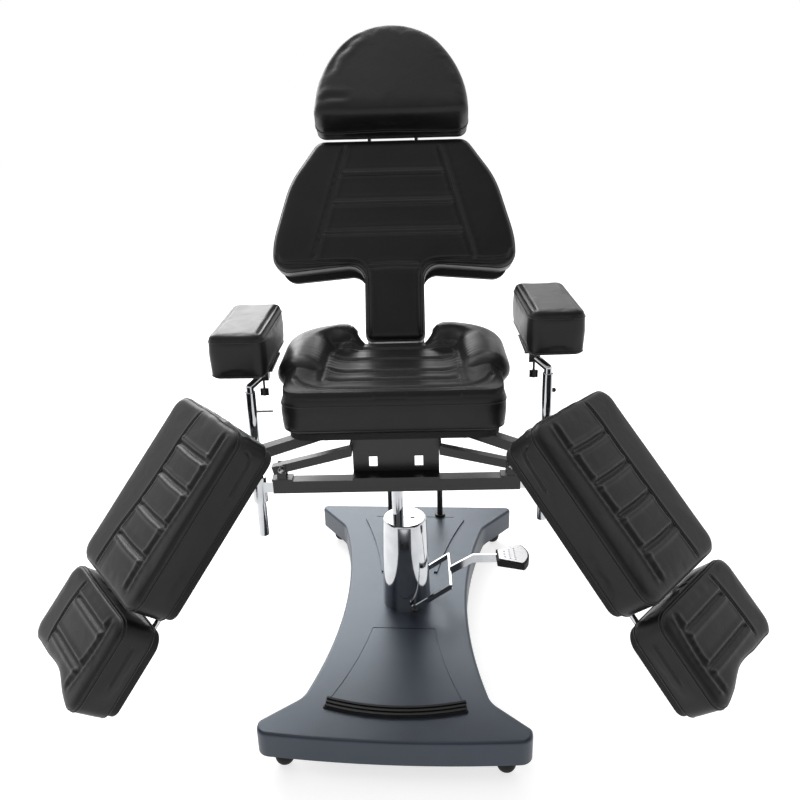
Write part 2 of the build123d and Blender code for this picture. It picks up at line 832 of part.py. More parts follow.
def frame_bolts():
    """Dome-headed bolts: clevis pins, seat bolts and the pins that the legs swing on."""
    bolts = []
    reach = brace_size / 2 + seat_gap + clevis_ear
    for side in sides.values():
        x = side * brace_outer_x
        pin = bar_y(knee_pin_radius, x, cross_tube_y - reach, cross_tube_y + reach, brace_outer_z)
        head = Pos(x, cross_tube_y - reach, brace_outer_z) * Sphere(dome_radius)
        head &= block(
            x - dome_radius,
            x + dome_radius,
            cross_tube_y - reach - dome_radius,
            cross_tube_y - reach,
            brace_outer_z - dome_radius,
            brace_outer_z + dome_radius,
        )
        bolts.append(pin + head)
        seat_x = side * seat_bolt_x
        board_low = seat_board_top_z - board_thickness
        dome = Pos(seat_x, seat_bolt_y, board_low) * Sphere(dome_radius)
        dome &= block(
            seat_x - dome_radius,
            seat_x + dome_radius,
            seat_bolt_y - dome_radius,
            seat_bolt_y + dome_radius,
            board_low - dome_radius,
            board_low,
        )
        bolts.append(dome)
        pin_x = side * leg_pivot_x
        beam_low = carrier_top_z - plate - leg_beam_thickness
        shank = post(leg_pin_radius, pin_x, leg_pivot_y, arm_top_z - arm_height - seat_gap, beam_low)
        nut = post(
            leg_pin_radius * nut_share,
            pin_x,
            leg_pivot_y,
            arm_top_z - arm_height - seat_gap - leg_pin_radius,
            arm_top_z - arm_height - seat_gap,
        )
        bolts.append(shank + nut)
    return Compound(bolts)


def leg_beam():
    """The flat cross beam over the leg arms."""
    low = carrier_top_z - plate - leg_beam_thickness
    y0 = leg_pivot_y - leg_beam_depth / 2
    y1 = leg_pivot_y + leg_beam_depth / 2
    beams = []
    wall = carrier_half_width + plate
    for side in sides.values():
        beams.append(block(side * wall, side * leg_beam_half_length, y0, y1, low, carrier_top_z - plate))
    top_left = block(-leg_beam_half_length, -wall, y0, y1, carrier_top_z - plate, carrier_top_z)
    top_right = block(wall, leg_beam_half_length, y0, y1, carrier_top_z - plate, carrier_top_z)
    return Compound([beams[0] + top_left, beams[1] + top_right])


def back_rails():
    """Two rails under the seat's rear, each with an upright ear for the recline pin."""
    rails = []
    inner = hinge_ear_x + hinge_plate + seat_gap
    outer = inner + hinge_plate
    top = carrier_top_z - plate
    low = top - back_rail_height
    y0 = carrier_rear_y - bar_width
    ear_y = recline_y - hinge_ear_radius
    for side in sides.values():
        shape = block(inner, outer, y0, recline_y + hinge_ear_radius, low, top)
        shape += block(inner, outer, ear_y, recline_y + hinge_ear_radius, low, recline_z)
        shape += bar_x(hinge_ear_radius, inner, outer, recline_y, recline_z)
        shape -= bar_x(hinge_pin_radius + running_gap, inner - overrun, outer + overrun, recline_y, recline_z)
        rails.append(mirrored(shape, side))
    return Compound(rails)


def recline_pin():
    pin = bar_x(hinge_pin_radius, -hinge_pin_half, hinge_pin_half, recline_y, recline_z)
    outer = hinge_ear_x + hinge_plate + seat_gap + hinge_plate
    for side in sides.values():
        near = min(side * outer, side * (outer + hinge_plate))
        far = max(side * outer, side * (outer + hinge_plate))
        pin += bar_x(hinge_pin_radius * nut_share, near, far, recline_y, recline_z)
    return pin


# Seat
def seat_outline(inset):
    """Rounded at the front, with a notch at the rear for the back's stem."""
    half = seat_half_width - inset
    front = seat_front_y + inset
    rear = seat_rear_y - inset
    notch = notch_half_width + inset / 2
    notch_y = notch_front_y - inset / 2
    right = [(half, front), (half, rear), (notch, rear), (notch, notch_y)]
    left = [(-x, y) for x, y in reversed(right)]
    outline = make_face(Polyline(*right, *left, right[0]))
    places = (
        (right[0], seat_front_corner),
        (right[1], seat_rear_corner),
        (right[2], seat_notch_corner),
        (right[3], seat_notch_corner),
    )
    for (x, y), radius in places:
        near = [v for v in outline.vertices() if hypot(abs(v.X) - x, v.Y - y) < weld_edge]
        outline = fillet(near, radius)
    return outline


def seat_bolster(side):
    """A broad roll along the side and round the rear corner to the notch."""
    rear = seat_rear_y + bolster_overhang - bolster_half_width
    turn_y = rear - bolster_turn_radius
    start = (bolster_x, bolster_front_y)
    bend = (bolster_x, turn_y)
    diagonal = bolster_turn_radius * (1 - cos(radians(45)))
    mid = (bolster_x - diagonal, rear - diagonal)
    after = (bolster_x - bolster_turn_radius, rear)
    path = Curve() + [Line(start, bend), ThreePointArc(bend, mid, after), Line(after, (bolster_end_x, rear))]
    start_plane = Plane((bolster_x, bolster_front_y, 0), x_dir=(1, 0, 0), z_dir=(0, 1, 0))
    roll = sweep(start_plane * Ellipse(bolster_half_width, bolster_half_height), path.wire())
    roll = fillet(roll.edges().filter_by(GeomType.ELLIPSE), bolster_end_edge)
    return mirrored(Pos(0, 0, bolster_z) * roll, side)


def seat_cushion():
    body = Pos(0, 0, seat_board_top_z) * cushion(seat_outline, seat_thickness, seat_layers)
    top = seat_board_top_z + seat_thickness
    for y in seat_channel_ys:
        body -= channel(0, y, top, seat_panel_half_width * 2, 0)
    for side in sides.values():
        body += seat_bolster(side)
    return body


def seat_board():
    low = seat_board_top_z - board_thickness
    return extrude(Pos(0, 0, low) * seat_outline(board_inset * 2), board_thickness)


# Legs. Drawn for the right side, level and straight ahead, with the swing pin at X = 0, Y = 0
def leg_pad_outline(inset):
    width = leg_pad_width - inset * 2
    length = leg_pad_length - inset * 2
    return RectangleRounded(width, length, pad_corner_radius - inset / 2)


def pad_low_z():
    return knee_z + pad_rise + board_thickness


def pad_y(along):
    """Y of a place along the leg, counted from the pad's upper end."""
    return -(knee_radius + pad_start + along)


def leg_cushion():
    body = cushion(leg_pad_outline, leg_pad_thickness, pad_layers)
    for number in range(pad_channel_count):
        y = (number - (pad_channel_count - 1) / 2) * pad_channel_pitch
        body -= channel(0, y, leg_pad_thickness, pad_panel_width, 0)
    return Pos(pad_offset, pad_y(leg_pad_length / 2), pad_low_z()) * body


def leg_board():
    low = pad_low_z() - board_thickness
    board = extrude(leg_pad_outline(board_inset), board_thickness)
    return Pos(pad_offset, pad_y(leg_pad_length / 2), low) * board


def leg_rails():
    """Two rails under the board, the knee barrel, and the tubes that guide the foot's rods."""
    top = pad_low_z() - board_thickness
    low = top - leg_rail_size
    half = leg_rail_spacing / 2
    y0 = -knee_radius - leg_rail_length
    pieces = []
    for side in sides.values():
        x = pad_offset + side * half
        pieces.append(block(x - leg_rail_size / 2, x + leg_rail_size / 2, y0, -knee_radius, low, top))
        ear = bar_x(knee_barrel_radius, x - leg_rail_size / 2, x + leg_rail_size / 2, -knee_radius, knee_z)
        pieces.append(ear)
        web = block(
            x - leg_rail_size / 2,
            x + leg_rail_size / 2,
            -knee_radius - knee_barrel_radius,
            -knee_radius + knee_barrel_radius / 2,
            knee_z,
            top,
        )
        pieces.append(web)
    for place in (knee_barrel_radius * 3, leg_rail_length - leg_rail_size):
        y = -knee_radius - place
        reach = foot_rod_spacing / 2
        y0, y1 = y - leg_rail_size / 2, y + leg_rail_size / 2
        pieces.append(block(pad_offset - reach, pad_offset + reach, y0, y1, low, top))
    frame = pieces[0].fuse(*pieces[1:])
    end_y = pad_y(leg_pad_length) + board_inset
    for side in sides.values():
        x = pad_offset + side * foot_rod_spacing / 2
        frame += bar_y(foot_tube_radius, x, end_y, end_y + foot_tube_length, foot_rod_z())
        bore = foot_rod_radius + running_gap
        frame -= bar_y(bore, x, end_y - overrun, end_y + foot_tube_length, foot_rod_z())
    for side in sides.values():
        x = pad_offset + side * half
        bore = knee_pin_radius + running_gap
        frame -= bar_x(bore, x - leg_rail_size, x + leg_rail_size, -knee_radius, knee_z)
    return frame


def foot_rod_z():
    return pad_low_z() - board_thickness - foot_tube_radius


def leg_arm():
    """A flat-topped bar from the swing pin's eye to the knee barrel, and the knee pin."""
    low = arm_top_z - arm_height
    x = pad_offset / 2
    bar = block(x - arm_width / 2, x + arm_width / 2, -knee_radius, 0, low, arm_top_z)
    bar += post(arm_eye_radius, 0, 0, low, arm_top_z)
    half = leg_rail_spacing / 2 - leg_rail_size / 2 - seat_gap
    bar += bar_x(knee_barrel_radius, pad_offset - half, pad_offset + half, -knee_radius, knee_z)
    bar -= post(leg_pin_radius + running_gap, 0, 0, low - overrun, arm_top_z + overrun)
    reach = leg_rail_spacing / 2 + leg_rail_size / 2
    bar -= bar_x(knee_pin_radius, pad_offset - reach, pad_offset + reach, -knee_radius, knee_z)
    return bar


def knee_pin():
    reach = leg_rail_spacing / 2 + leg_rail_size / 2 + seat_gap
    pin = bar_x(knee_pin_radius, pad_offset - reach, pad_offset + reach, -knee_radius, knee_z)
    for side in sides.values():
        near = pad_offset + side * reach
        far = near + side * knee_pin_radius / 2
        pin += bar_x(knee_pin_radius * 1.6, min(near, far), max(near, far), -knee_radius, knee_z)
    return pin


def foot_outline(inset):
    """Square at the top, with a wavy toe that is longer on the inner side."""
    half = foot_width / 2 - inset
    top = -inset
    inner = inset - foot_inner_length
    outer = inset - foot_outer_length
    dip = inset - foot_dip_length
    corner = foot_corner
    bend = foot_corner * (1 - cos(radians(45)))
    small = foot_toe_corner
    small_bend = foot_toe_corner * (1 - cos(radians(45)))
    edges = [
        Line((-half, top - corner), (-half, inner + small)),
        ThreePointArc((-half, inner + small), (small_bend - half, inner + small_bend), (small - half, inner)),
        Spline(
            (small - half, inner),
            (half * foot_dip_share, dip),
            (half - corner, outer),
            tangents=((1, 0), (1, 0)),
        ),
        ThreePointArc((half - corner, outer), (half - bend, outer + bend), (half, outer + corner)),
        Line((half, outer + corner), (half, top - corner)),
        ThreePointArc((half, top - corner), (half - bend, top - bend), (half - corner, top)),
        Line((half - corner, top), (corner - half, top)),
        ThreePointArc((corner - half, top), (bend - half, top - bend), (-half, top - corner)),
    ]
    return make_face(Curve() + edges)


def foot_y():
    return pad_y(leg_pad_length + foot_gap)


def foot_cushion():
    body = cushion(foot_outline, foot_thickness, foot_layers)
    for share in foot_channel_shares:
        body -= channel(0, -foot_outer_length * share, foot_thickness, pad_panel_width, 0)
    return Pos(pad_offset, foot_y(), pad_low_z()) * body


def foot_board():
    low = pad_low_z() - board_thickness
    return Pos(pad_offset, foot_y(), low) * extrude(foot_outline(board_inset), board_thickness)


def foot_slide():
    """Two rods and the cross plate that carries the foot board."""
    z = foot_rod_z()
    top = pad_low_z() - board_thickness
    plate_y = foot_y() - foot_outer_length / 2
    reach = foot_rod_spacing / 2 + foot_tube_radius
    y0, y1 = plate_y - bar_width / 2, plate_y + bar_width / 2
    shape = block(pad_offset - reach, pad_offset + reach, y0, y1, z - foot_rod_radius, top)
    for side in sides.values():
        x = pad_offset + side * foot_rod_spacing / 2
        shape += bar_y(foot_rod_radius, x, plate_y, foot_y() + foot_rod_reach, z)
    return shape


def place_leg(shape, side, swing, tilt):
    """Tilts a level leg piece down at the knee, swings it out and sets it on its pin."""
    turned = Pos(0, -knee_radius, knee_z) * Rot(tilt, 0, 0) * Pos(0, knee_radius, -knee_z)
    swung = Pos(side * leg_pivot_x, leg_pivot_y, 0) * Rot(0, 0, side * swing)
    return swung * turned * mirrored(shape, side)


# Backrest, drawn upright with its front at Y = 0 and the stem's foot at Z = 0
def back_outline(inset):
    points = [
        (back_stem_half, 0),
        (back_stem_half, back_stem_top),
        (back_wing_half, back_wing_low),
        (back_wing_half, back_wing_full),
        (back_shoulder_half, back_shoulder),
        (back_top_half, back_top),
    ]
    loop = points + [(-x, y) for x, y in reversed(points)] + [points[0]]
    outline = make_face(Polyline(*loop))
    radii = (
        (points[0], back_top_corner / 2),
        (points[1], back_stem_corner),
        (points[2], back_wing_corner),
        (points[3], back_side_corner),
        (points[4], back_side_corner),
        (points[5], back_top_corner),
    )
    for (x, y), radius in radii:
        near = [v for v in outline.vertices() if hypot(abs(v.X) - x, v.Y - y) < overrun]
        outline = fillet(near, radius)
    share = 1 - inset / back_wing_half
    middle = back_wing_full
    return Pos(0, middle, 0) * scale(Pos(0, -middle, 0) * outline, by=share)


def back_panel_half(z):
    """Half the stitched panel's width at a height on the back."""
    share = (z - back_panel_low[1]) / (back_panel_high[1] - back_panel_low[1])
    return back_panel_low[0] + (back_panel_high[0] - back_panel_low[0]) * share


def lean(shape, angle):
    """From the upright drawing to its place on the chair."""
    return Pos(0, back_foot_y, back_foot_z) * Rot(-angle, 0, 0) * shape


def stand(shape, depth):
    """A flat drawing stood up, so that its top face points forward at Y = depth."""
    return Pos(0, depth, 0) * Rot(90, 0, 0) * shape


def back_cushion():
    body = cushion(back_outline, back_thickness, back_layers)
    for z in back_channel_zs:
        body -= channel(0, z, back_thickness, back_panel_half(z) * 2, 0)
    return stand(body, back_thickness)


def back_board():
    board = extrude(back_outline(board_inset * 2), board_thickness)
    return stand(board, back_thickness + board_thickness)


def pivot_local():
    """The recline pin's place in the upright drawing."""
    dy = recline_y - back_foot_y
    dz = recline_z - back_foot_z
    angle = radians(back_lean)
    return dy * cos(angle) - dz * sin(angle), dy * sin(angle) + dz * cos(angle)


def back_bracket():
    """A steel plate up the back's board, with two ears that go down to the recline pin."""
    y, z = pivot_local()
    rear = back_thickness + board_thickness
    half = hinge_ear_x + hinge_plate
    high = back_stem_top + bar_width * 2
    shape = block(-half, half, rear, rear + hinge_plate, weld_edge, high)
    pieces = []
    for side in sides.values():
        inner = min(side * hinge_ear_x, side * half)
        outer = max(side * hinge_ear_x, side * half)
        web = make_face(
            Polyline(
                (rear + hinge_plate, bar_width * 2),
                (rear, bar_width * 2),
                (rear, weld_edge),
                (y - hinge_ear_radius, z),
                (y + hinge_ear_radius, z),
                (rear + bar_width, weld_edge),
                (rear + hinge_plate, bar_width * 2),
            )
        )
        web = Plane((inner, 0, 0), x_dir=(0, 1, 0), z_dir=(1, 0, 0)) * web
        pieces.append(extrude(web, hinge_plate))
        pieces.append(bar_x(hinge_ear_radius, inner, outer, y, z))
    shape = shape.fuse(*pieces)
    shape -= bar_x(hinge_pin_radius + running_gap, -half - overrun, half + overrun, y, z)
    return shape


def head_rod_y():
    return back_thickness + board_thickness + head_sleeve_radius


def headrest_sleeves():
    sleeves = []
    for side in sides.values():
        bore = head_rod_radius + running_gap
        x, y = side * head_rod_x, head_rod_y()
        sleeves.append(tube_z(head_sleeve_radius, bore, x, y, head_sleeve_low, head_sleeve_high))
    return Compound(sleeves)


def headrest_rods():
    """Two rods joined by the bar that the headrest tilts on."""
    y = head_rod_y()
    bar = bar_x(head_rod_radius, -head_rod_x, head_rod_x, y, head_rod_high)
    for side in sides.values():
        bar += post(head_rod_radius, side * head_rod_x, y, head_rod_low, head_rod_high)
        bar += Pos(side * head_rod_x, y, head_rod_high) * Sphere(head_rod_radius)
    return bar


def head_outline(inset):
    """A half-moon: straight below, with a wide arc at each side and a tighter one over the top."""
    half = head_half_width - inset
    base = head_base_half - inset
    low = inset
    high = head_height - inset
    belly = head_height * head_belly_share
    crown = head_crown_radius - inset
    rise = high - belly - crown
    side_radius = (half**2 + rise**2 - crown**2) / (2 * (half - crown))
    # The side arc's centre, the place where it meets the crown, and a place halfway along it
    centre_x = half - side_radius
    meet = atan2(rise, -centre_x)
    meet_x, meet_y = centre_x + side_radius * cos(meet), belly + side_radius * sin(meet)
    mid_x, mid_y = centre_x + side_radius * cos(meet / 2), belly + side_radius * sin(meet / 2)
    edges = [
        Line((-base, low), (base, low)),
        ThreePointArc((base, low), (half - head_cheek, low + head_cheek), (half, belly)),
        ThreePointArc((half, belly), (mid_x, mid_y), (meet_x, meet_y)),
        ThreePointArc((meet_x, meet_y), (0, high), (-meet_x, meet_y)),
        ThreePointArc((-meet_x, meet_y), (-mid_x, mid_y), (-half, belly)),
        ThreePointArc((-half, belly), (-half + head_cheek, low + head_cheek), (-base, low)),
    ]
    return make_face(Curve() + edges)


def place_head(shape):
    """The headrest leans back a little more than the back."""
    return Pos(0, 0, head_low) * Rot(-head_tilt_rest, 0, 0) * shape


def headrest_cushion():
    body = cushion(head_outline, head_thickness, head_layers)
    return place_head(stand(body, head_thickness - head_front))


def headrest_board():
    board = extrude(head_outline(board_inset * 2), board_thickness)
    return place_head(stand(board, head_thickness - head_front + board_thickness))


def headrest_bracket():
    """Two ears from the board back to the tilt bar."""
    rear = head_thickness - head_front + board_thickness
    angle = radians(head_tilt_rest)
    dy = head_rod_y()
    dz = head_rod_high - head_low
    y = dy * cos(angle) - dz * sin(angle)
    z = dy * sin(angle) + dz * cos(angle)
    ear = hinge_ear_radius
    half = head_rod_x / 2
    shape = block(-half, half, rear, rear + hinge_plate, z - bar_width, z + bar_width)
    for side in sides.values():
        x0 = min(side * half, side * (half - hinge_plate))
        x1 = max(side * half, side * (half - hinge_plate))
        shape += block(x0, x1, rear, y, z - ear / 2, z + ear / 2)
        shape += bar_x(ear * head_ear_share, x0, x1, y, z)
    shape -= bar_x(head_rod_radius + running_gap, -head_rod_x, head_rod_x, y, z)
    return place_head(shape)


# Armrests. Drawn on the right; the left one is the mirror image at its own height and reach
def arm_rise(side):
    return right_rise if side > 0 else 0


def pole_x(side):
    return right_pole_x if side > 0 else left_pole_x


def pole_holders():
    """Square plugs in the cross tube's ends, each with an upright clamp sleeve for its pole."""
    half = tube_size / 2 - tube_wall - running_gap
    y, z = cross_tube_y, cross_tube_z
    low = z - tube_size / 2 - holder_drop
    high = low + holder_height
    holders = []
    for side in sides.values():
        x = pole_x(side)
        end = x - holder_radius + overrun
        plug = block(cross_tube_half_length - plug_reach, end, y - half, y + half, z - half, z + half)
        shape = plug + post(holder_radius, x, pole_y, low, high)
        shape -= post(pole_radius + running_gap, x, pole_y, low - overrun, high + overrun)
        holders.append(mirrored(shape, side))
    return Compound(holders)


def arm_pole(side):
    """A tube that slides in its clamp, with a threaded hole for the lock near its top."""
    x = pole_x(side)
    top = left_pole_top_z
    bore = neck_rod_radius + running_gap
    pole = tube_z(pole_radius, bore, x, pole_y, left_pole_bottom_z, top)
    hole = bar_x(lock_screw_radius + running_gap, 0, pole_radius * 2, 0, top - lock_drop)
    pole -= turned_on_pole(hole, side)
    return mirrored(Pos(0, 0, arm_rise(side)) * pole, side)


def turned_on_pole(shape, side):
    """From the pole's own axis to the way the lock points: outwards and back, or inwards."""
    turn = right_lock_turn if side > 0 else left_lock_turn
    return Pos(pole_x(side), pole_y, 0) * Rot(0, 0, turn) * shape


def arm_lock(side):
    """The screw that holds the neck's height: a ball knob on the right, a long plain rod on the left."""
    z = left_pole_top_z - lock_drop + arm_rise(side)
    start = neck_rod_radius + running_gap * 2
    end = pole_radius + (right_lock_reach if side > 0 else left_lock_reach)
    lock = bar_x(lock_screw_radius, start, end, 0, z)
    if side > 0:
        lock += Pos(end, 0, z) * Sphere(lock_ball_radius)
    return mirrored(turned_on_pole(lock, side), side)


def arm_neck(side):
    """A rod from inside the pole, bent inwards to a clamp block and the plate under the pad."""
    x = pole_x(side)
    elbow = (x, pole_y, left_pole_top_z + neck_elbow)
    end = (x - neck_run_x, pole_y + neck_run_y, left_pole_top_z + neck_elbow + neck_rise)
    inside = left_pole_top_z - neck_depth
    rod = post(neck_rod_radius, x, pole_y, inside, elbow[2])
    rod += Pos(*elbow) * Sphere(neck_rod_radius)
    run = Vector(*end) - Vector(*elbow)
    slope = extrude(Plane(elbow, z_dir=run) * Circle(neck_rod_radius), run.length)
    pad_low = arm_pad_low_z()
    half = clamp_size / 2
    mount_low = pad_low - plate
    near_y, far_y = end[1] - half, end[1] + half
    clamp = block(end[0] - half, end[0] + half, near_y, far_y, mount_low - clamp_height, mount_low)
    x0, x1 = end[0] - arm_plate_width / 2, end[0] + arm_plate_width / 2
    plate_y = near_y + arm_plate_length
    shape = rod.fuse(slope, clamp, block(x0, x1, near_y, plate_y, mount_low, pad_low))
    shape -= block(x0, x1, near_y, plate_y, pad_low, pad_low + clamp_height)
    screw_top = mount_low - plate
    hole = knob_screw_radius + running_gap
    shape -= post(hole, end[0], end[1] - half / 2, elbow[2] - neck_rod_radius, screw_top)
    return mirrored(Pos(0, 0, arm_rise(side)) * shape, side)


def arm_pad_low_z():
    return left_pole_top_z + neck_elbow + neck_rise + clamp_height / 2 + plate


def arm_pad_outline(inset):
    return RectangleRounded(arm_pad_width - inset * 2, arm_pad_length - inset * 2, arm_pad_corner - inset / 2)


def arm_cushion(side):
    front = right_arm_front_y if side > 0 else left_arm_front_y
    x = right_arm_x if side > 0 else left_arm_x
    turn = arm_turn if side > 0 else -arm_turn
    body = cushion(arm_pad_outline, arm_pad_thickness, arm_layers)
    place = Pos(side * x, front, arm_pad_low_z() + arm_rise(side)) * Rot(0, 0, turn)
    return place * Pos(0, arm_pad_length / 2, 0) * body


def arm_knob(side):
    """A wing knob on an upright screw under the clamp block."""
    top = arm_pad_low_z() - plate * 2 - running_gap
    x = pole_x(side) - neck_run_x
    y = pole_y + neck_run_y - clamp_size / 4
    low = arm_pad_low_z() - plate - clamp_height - knob_drop
    hub = knob_hub_radius
    knob = post(knob_screw_radius, x, y, low, top)
    knob += post(hub, x, y, low, low + knob_height)
    knob += Pos(x, y, low + knob_height / 2) * Box(knob_wing_half * 2, knob_wing_thickness, knob_height)
    return mirrored(Pos(0, 0, arm_rise(side)) * knob, side)


def save(name, shape):
    shape.label = name
    export_step(shape, f"parts/{name}.step")


os.makedirs("parts", exist_ok=True)

save("base_cover", base_cover())
save("base_frame", base_frame())
save("base_underplate", base_underplate())
save("levelling_feet", levelling_feet())
save("tread_strip", tread_strip())
save("carry_hoop", carry_hoop())
save("pump_shroud", pump_shroud())
save("pump_cap", pump_cap())
save("cap_screw", cap_screw())
save("pump_cylinder", pump_cylinder())
save("guide_bush", guide_bush())
save("pedal_pivot_bolts", pedal_pivot_bolts())
save("pedal_lever", pedal_lever())
save("pedal_pad", pedal_pad())
save("pedal_face", pedal_face())
save("piston_rod", piston_rod())
save("swivel_hub", swivel_hub())
save("seat_carrier", seat_carrier())
save("cross_tube", cross_tube())
save("pole_holders", pole_holders())
save("brace_clevises", brace_clevises())
save("side_braces", side_braces())
save("frame_bolts", frame_bolts())
save("leg_beam", leg_beam())
save("back_rails", back_rails())
save("recline_pin", recline_pin())
save("seat_board", seat_board())
save("seat_cushion", seat_cushion())
save("back_bracket", lean(back_bracket(), back_lean))
save("back_board", lean(back_board(), back_lean))
save("back_cushion", lean(back_cushion(), back_lean))
save("headrest_sleeves", lean(headrest_sleeves(), back_lean))
save("headrest_rods", lean(headrest_rods(), back_lean))
save("headrest_bracket", lean(headrest_bracket(), back_lean))
save("headrest_board", lean(headrest_board(), back_lean))
save("headrest_cushion", lean(headrest_cushion(), back_lean))
for name, side in sides.items():
    swing = right_swing if side > 0 else left_swing
    tilt = right_tilt if side > 0 else left_tilt
    save(f"{name}_leg_arm", place_leg(Compound([leg_arm(), knee_pin()]), side, swing, 0))
    save(f"{name}_leg_rails", place_leg(leg_rails(), side, swing, tilt))
    save(f"{name}_leg_board", place_leg(leg_board(), side, swing, tilt))
    save(f"{name}_leg_cushion", place_leg(leg_cushion(), side, swing, tilt))
    save(f"{name}_foot_slide", place_leg(foot_slide(), side, swing, tilt))
    save(f"{name}_foot_board", place_leg(foot_board(), side, swing, tilt))
    save(f"{name}_foot_cushion", place_leg(foot_cushion(), side, swing, tilt))
    save(f"{name}_arm_pole", arm_pole(side))
    save(f"{name}_arm_lock", arm_lock(side))
    save(f"{name}_arm_neck", arm_neck(side))
    save(f"{name}_arm_cushion", arm_cushion(side))
    save(f"{name}_arm_knob", arm_knob(side))
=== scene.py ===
import bmesh
import bpy
import json
import math
import numpy as np
from mathutils import Matrix, Vector
from mathutils.bvhtree import BVHTree


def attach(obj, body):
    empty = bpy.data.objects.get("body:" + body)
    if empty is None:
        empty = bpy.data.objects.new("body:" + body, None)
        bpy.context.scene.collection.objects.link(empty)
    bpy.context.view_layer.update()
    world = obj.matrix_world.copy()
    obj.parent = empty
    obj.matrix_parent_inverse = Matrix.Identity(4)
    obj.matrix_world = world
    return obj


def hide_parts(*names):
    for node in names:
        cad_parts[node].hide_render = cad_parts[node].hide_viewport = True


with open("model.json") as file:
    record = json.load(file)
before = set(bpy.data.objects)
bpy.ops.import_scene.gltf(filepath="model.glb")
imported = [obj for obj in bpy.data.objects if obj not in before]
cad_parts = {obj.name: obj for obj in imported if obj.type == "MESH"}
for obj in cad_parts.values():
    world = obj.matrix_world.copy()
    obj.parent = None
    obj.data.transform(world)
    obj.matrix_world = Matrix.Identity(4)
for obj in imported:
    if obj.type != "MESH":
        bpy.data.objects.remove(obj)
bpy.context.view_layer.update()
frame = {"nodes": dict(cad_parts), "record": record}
scene = bpy.context.scene
nodes = frame["nodes"]
slots = {entry["node"]: entry["material_slot"] for entry in frame["record"]["subparts"]}
print("frame loaded:", len(nodes), "nodes")

# camera: fitted to the photo, looking down 22 degrees with a slight roll
view = {"place": (0.048, -1.712, 1.326), "pitch": 22.1, "roll": 1.6, "yaw": 1.2, "lens": 37.08, "sensor": 36.0}
cameraData = bpy.data.cameras.new("photoCamera")
cameraData.lens = view["lens"]
cameraData.sensor_width = view["sensor"]
camera = bpy.data.objects.new("photoCamera", cameraData)
camera.matrix_world = (
    Matrix.Translation(view["place"])
    @ Matrix.Rotation(math.radians(view["yaw"]), 4, "Z")
    @ Matrix.Rotation(math.radians(90 - view["pitch"]), 4, "X")
    @ Matrix.Rotation(math.radians(-view["roll"]), 4, "Z")
)
scene.collection.objects.link(camera)
scene.camera = camera


# materials
def linear(hexColour):
    # sRGB hex to linear
    values = [int(hexColour[i:i + 2], 16) / 255 for i in (0, 2, 4)]
    return [v / 12.92 if v <= 0.04045 else ((v + 0.055) / 1.055) ** 2.4 for v in values] + [1.0]


def addNode(tree, kind, settings=None, inputs=None, links=None):
    # one node with its settings, its input values and what feeds it
    node = tree.nodes.new(kind)
    for key, value in (settings or {}).items():
        setattr(node, key, value)
    for key, value in (inputs or {}).items():
        node.inputs[key].default_value = value
    for key, socket in (links or {}).items():
        tree.links.new(socket, node.inputs[key])
    return node


def perMetre(millimetres):
    # a texture scale that gives one feature every so many millimetres
    return 1000.0 / millimetres


def startMaterial(name):
    material = bpy.data.materials.new(name)
    material.use_nodes = True
    tree = material.node_tree
    tree.nodes.clear()
    place = addNode(tree, "ShaderNodeTexCoord").outputs["Object"]
    return material, tree, place


def colourSteps(tree, factor, stops):
    # a colour ramp between hex colours
    ramp = addNode(tree, "ShaderNodeValToRGB", links={"Fac": factor})
    while len(ramp.color_ramp.elements) < len(stops):
        ramp.color_ramp.elements.new(0.5)
    for element, (at, colour) in zip(ramp.color_ramp.elements, stops):
        element.position = at
        element.color = linear(colour)
    return ramp.outputs["Color"]


def span(tree, value, low, high, start=0.0, end=1.0):
    # a value between start and end brought to another range, and held at its ends
    node = addNode(tree, "ShaderNodeMapRange", inputs={"From Min": start, "From Max": end, "To Min": low,
                   "To Max": high}, links={"Value": value})
    return node.outputs["Result"]


# PU leather on foam: calendered vinyl skin, fine pebble grain, soft satin sheen, faint creases
def makeLeather(name, dark, light, rough):
    look = {"grainMm": 3.0, "creaseMm": 42.0, "toneMm": 160.0, "grainDepth": 0.0002, "creaseDepth": 0.0016}
    material, tree, place = startMaterial(name)
    tone = addNode(tree, "ShaderNodeTexNoise", inputs={"Scale": perMetre(look["toneMm"]), "Detail": 3.0},
                   links={"Vector": place}).outputs["Fac"]
    colour = colourSteps(tree, tone, [(0.35, dark), (0.7, light)])
    # the real pebble is about 1 mm; it is drawn at 3 mm so that it shows
    grain = addNode(tree, "ShaderNodeTexVoronoi", {"feature": "F1"}, {"Scale": perMetre(look["grainMm"])},
                    {"Vector": place}).outputs["Distance"]
    crease = addNode(tree, "ShaderNodeTexNoise", inputs={"Scale": perMetre(look["creaseMm"]), "Detail": 5.0,
                     "Distortion": 0.6}, links={"Vector": place}).outputs["Fac"]
    roughness = span(tree, crease, rough - 0.07, rough + 0.09)
    creaseBump = addNode(tree, "ShaderNodeBump", inputs={"Strength": 0.5, "Distance": look["creaseDepth"]},
                         links={"Height": crease})
    grainBump = addNode(tree, "ShaderNodeBump", inputs={"Strength": 0.45, "Distance": look["grainDepth"]},
                        links={"Height": grain, "Normal": creaseBump.outputs["Normal"]})
    shader = addNode(tree, "ShaderNodeBsdfPrincipled",
                     inputs={"IOR": 1.46, "Specular IOR Level": 0.36, "Sheen Weight": 0.04, "Sheen Roughness": 0.4},
                     links={"Base Color": colour, "Roughness": roughness, "Normal": grainBump.outputs["Normal"]})
    addNode(tree, "ShaderNodeOutputMaterial", links={"Surface": shader.outputs["BSDF"]})
    return material


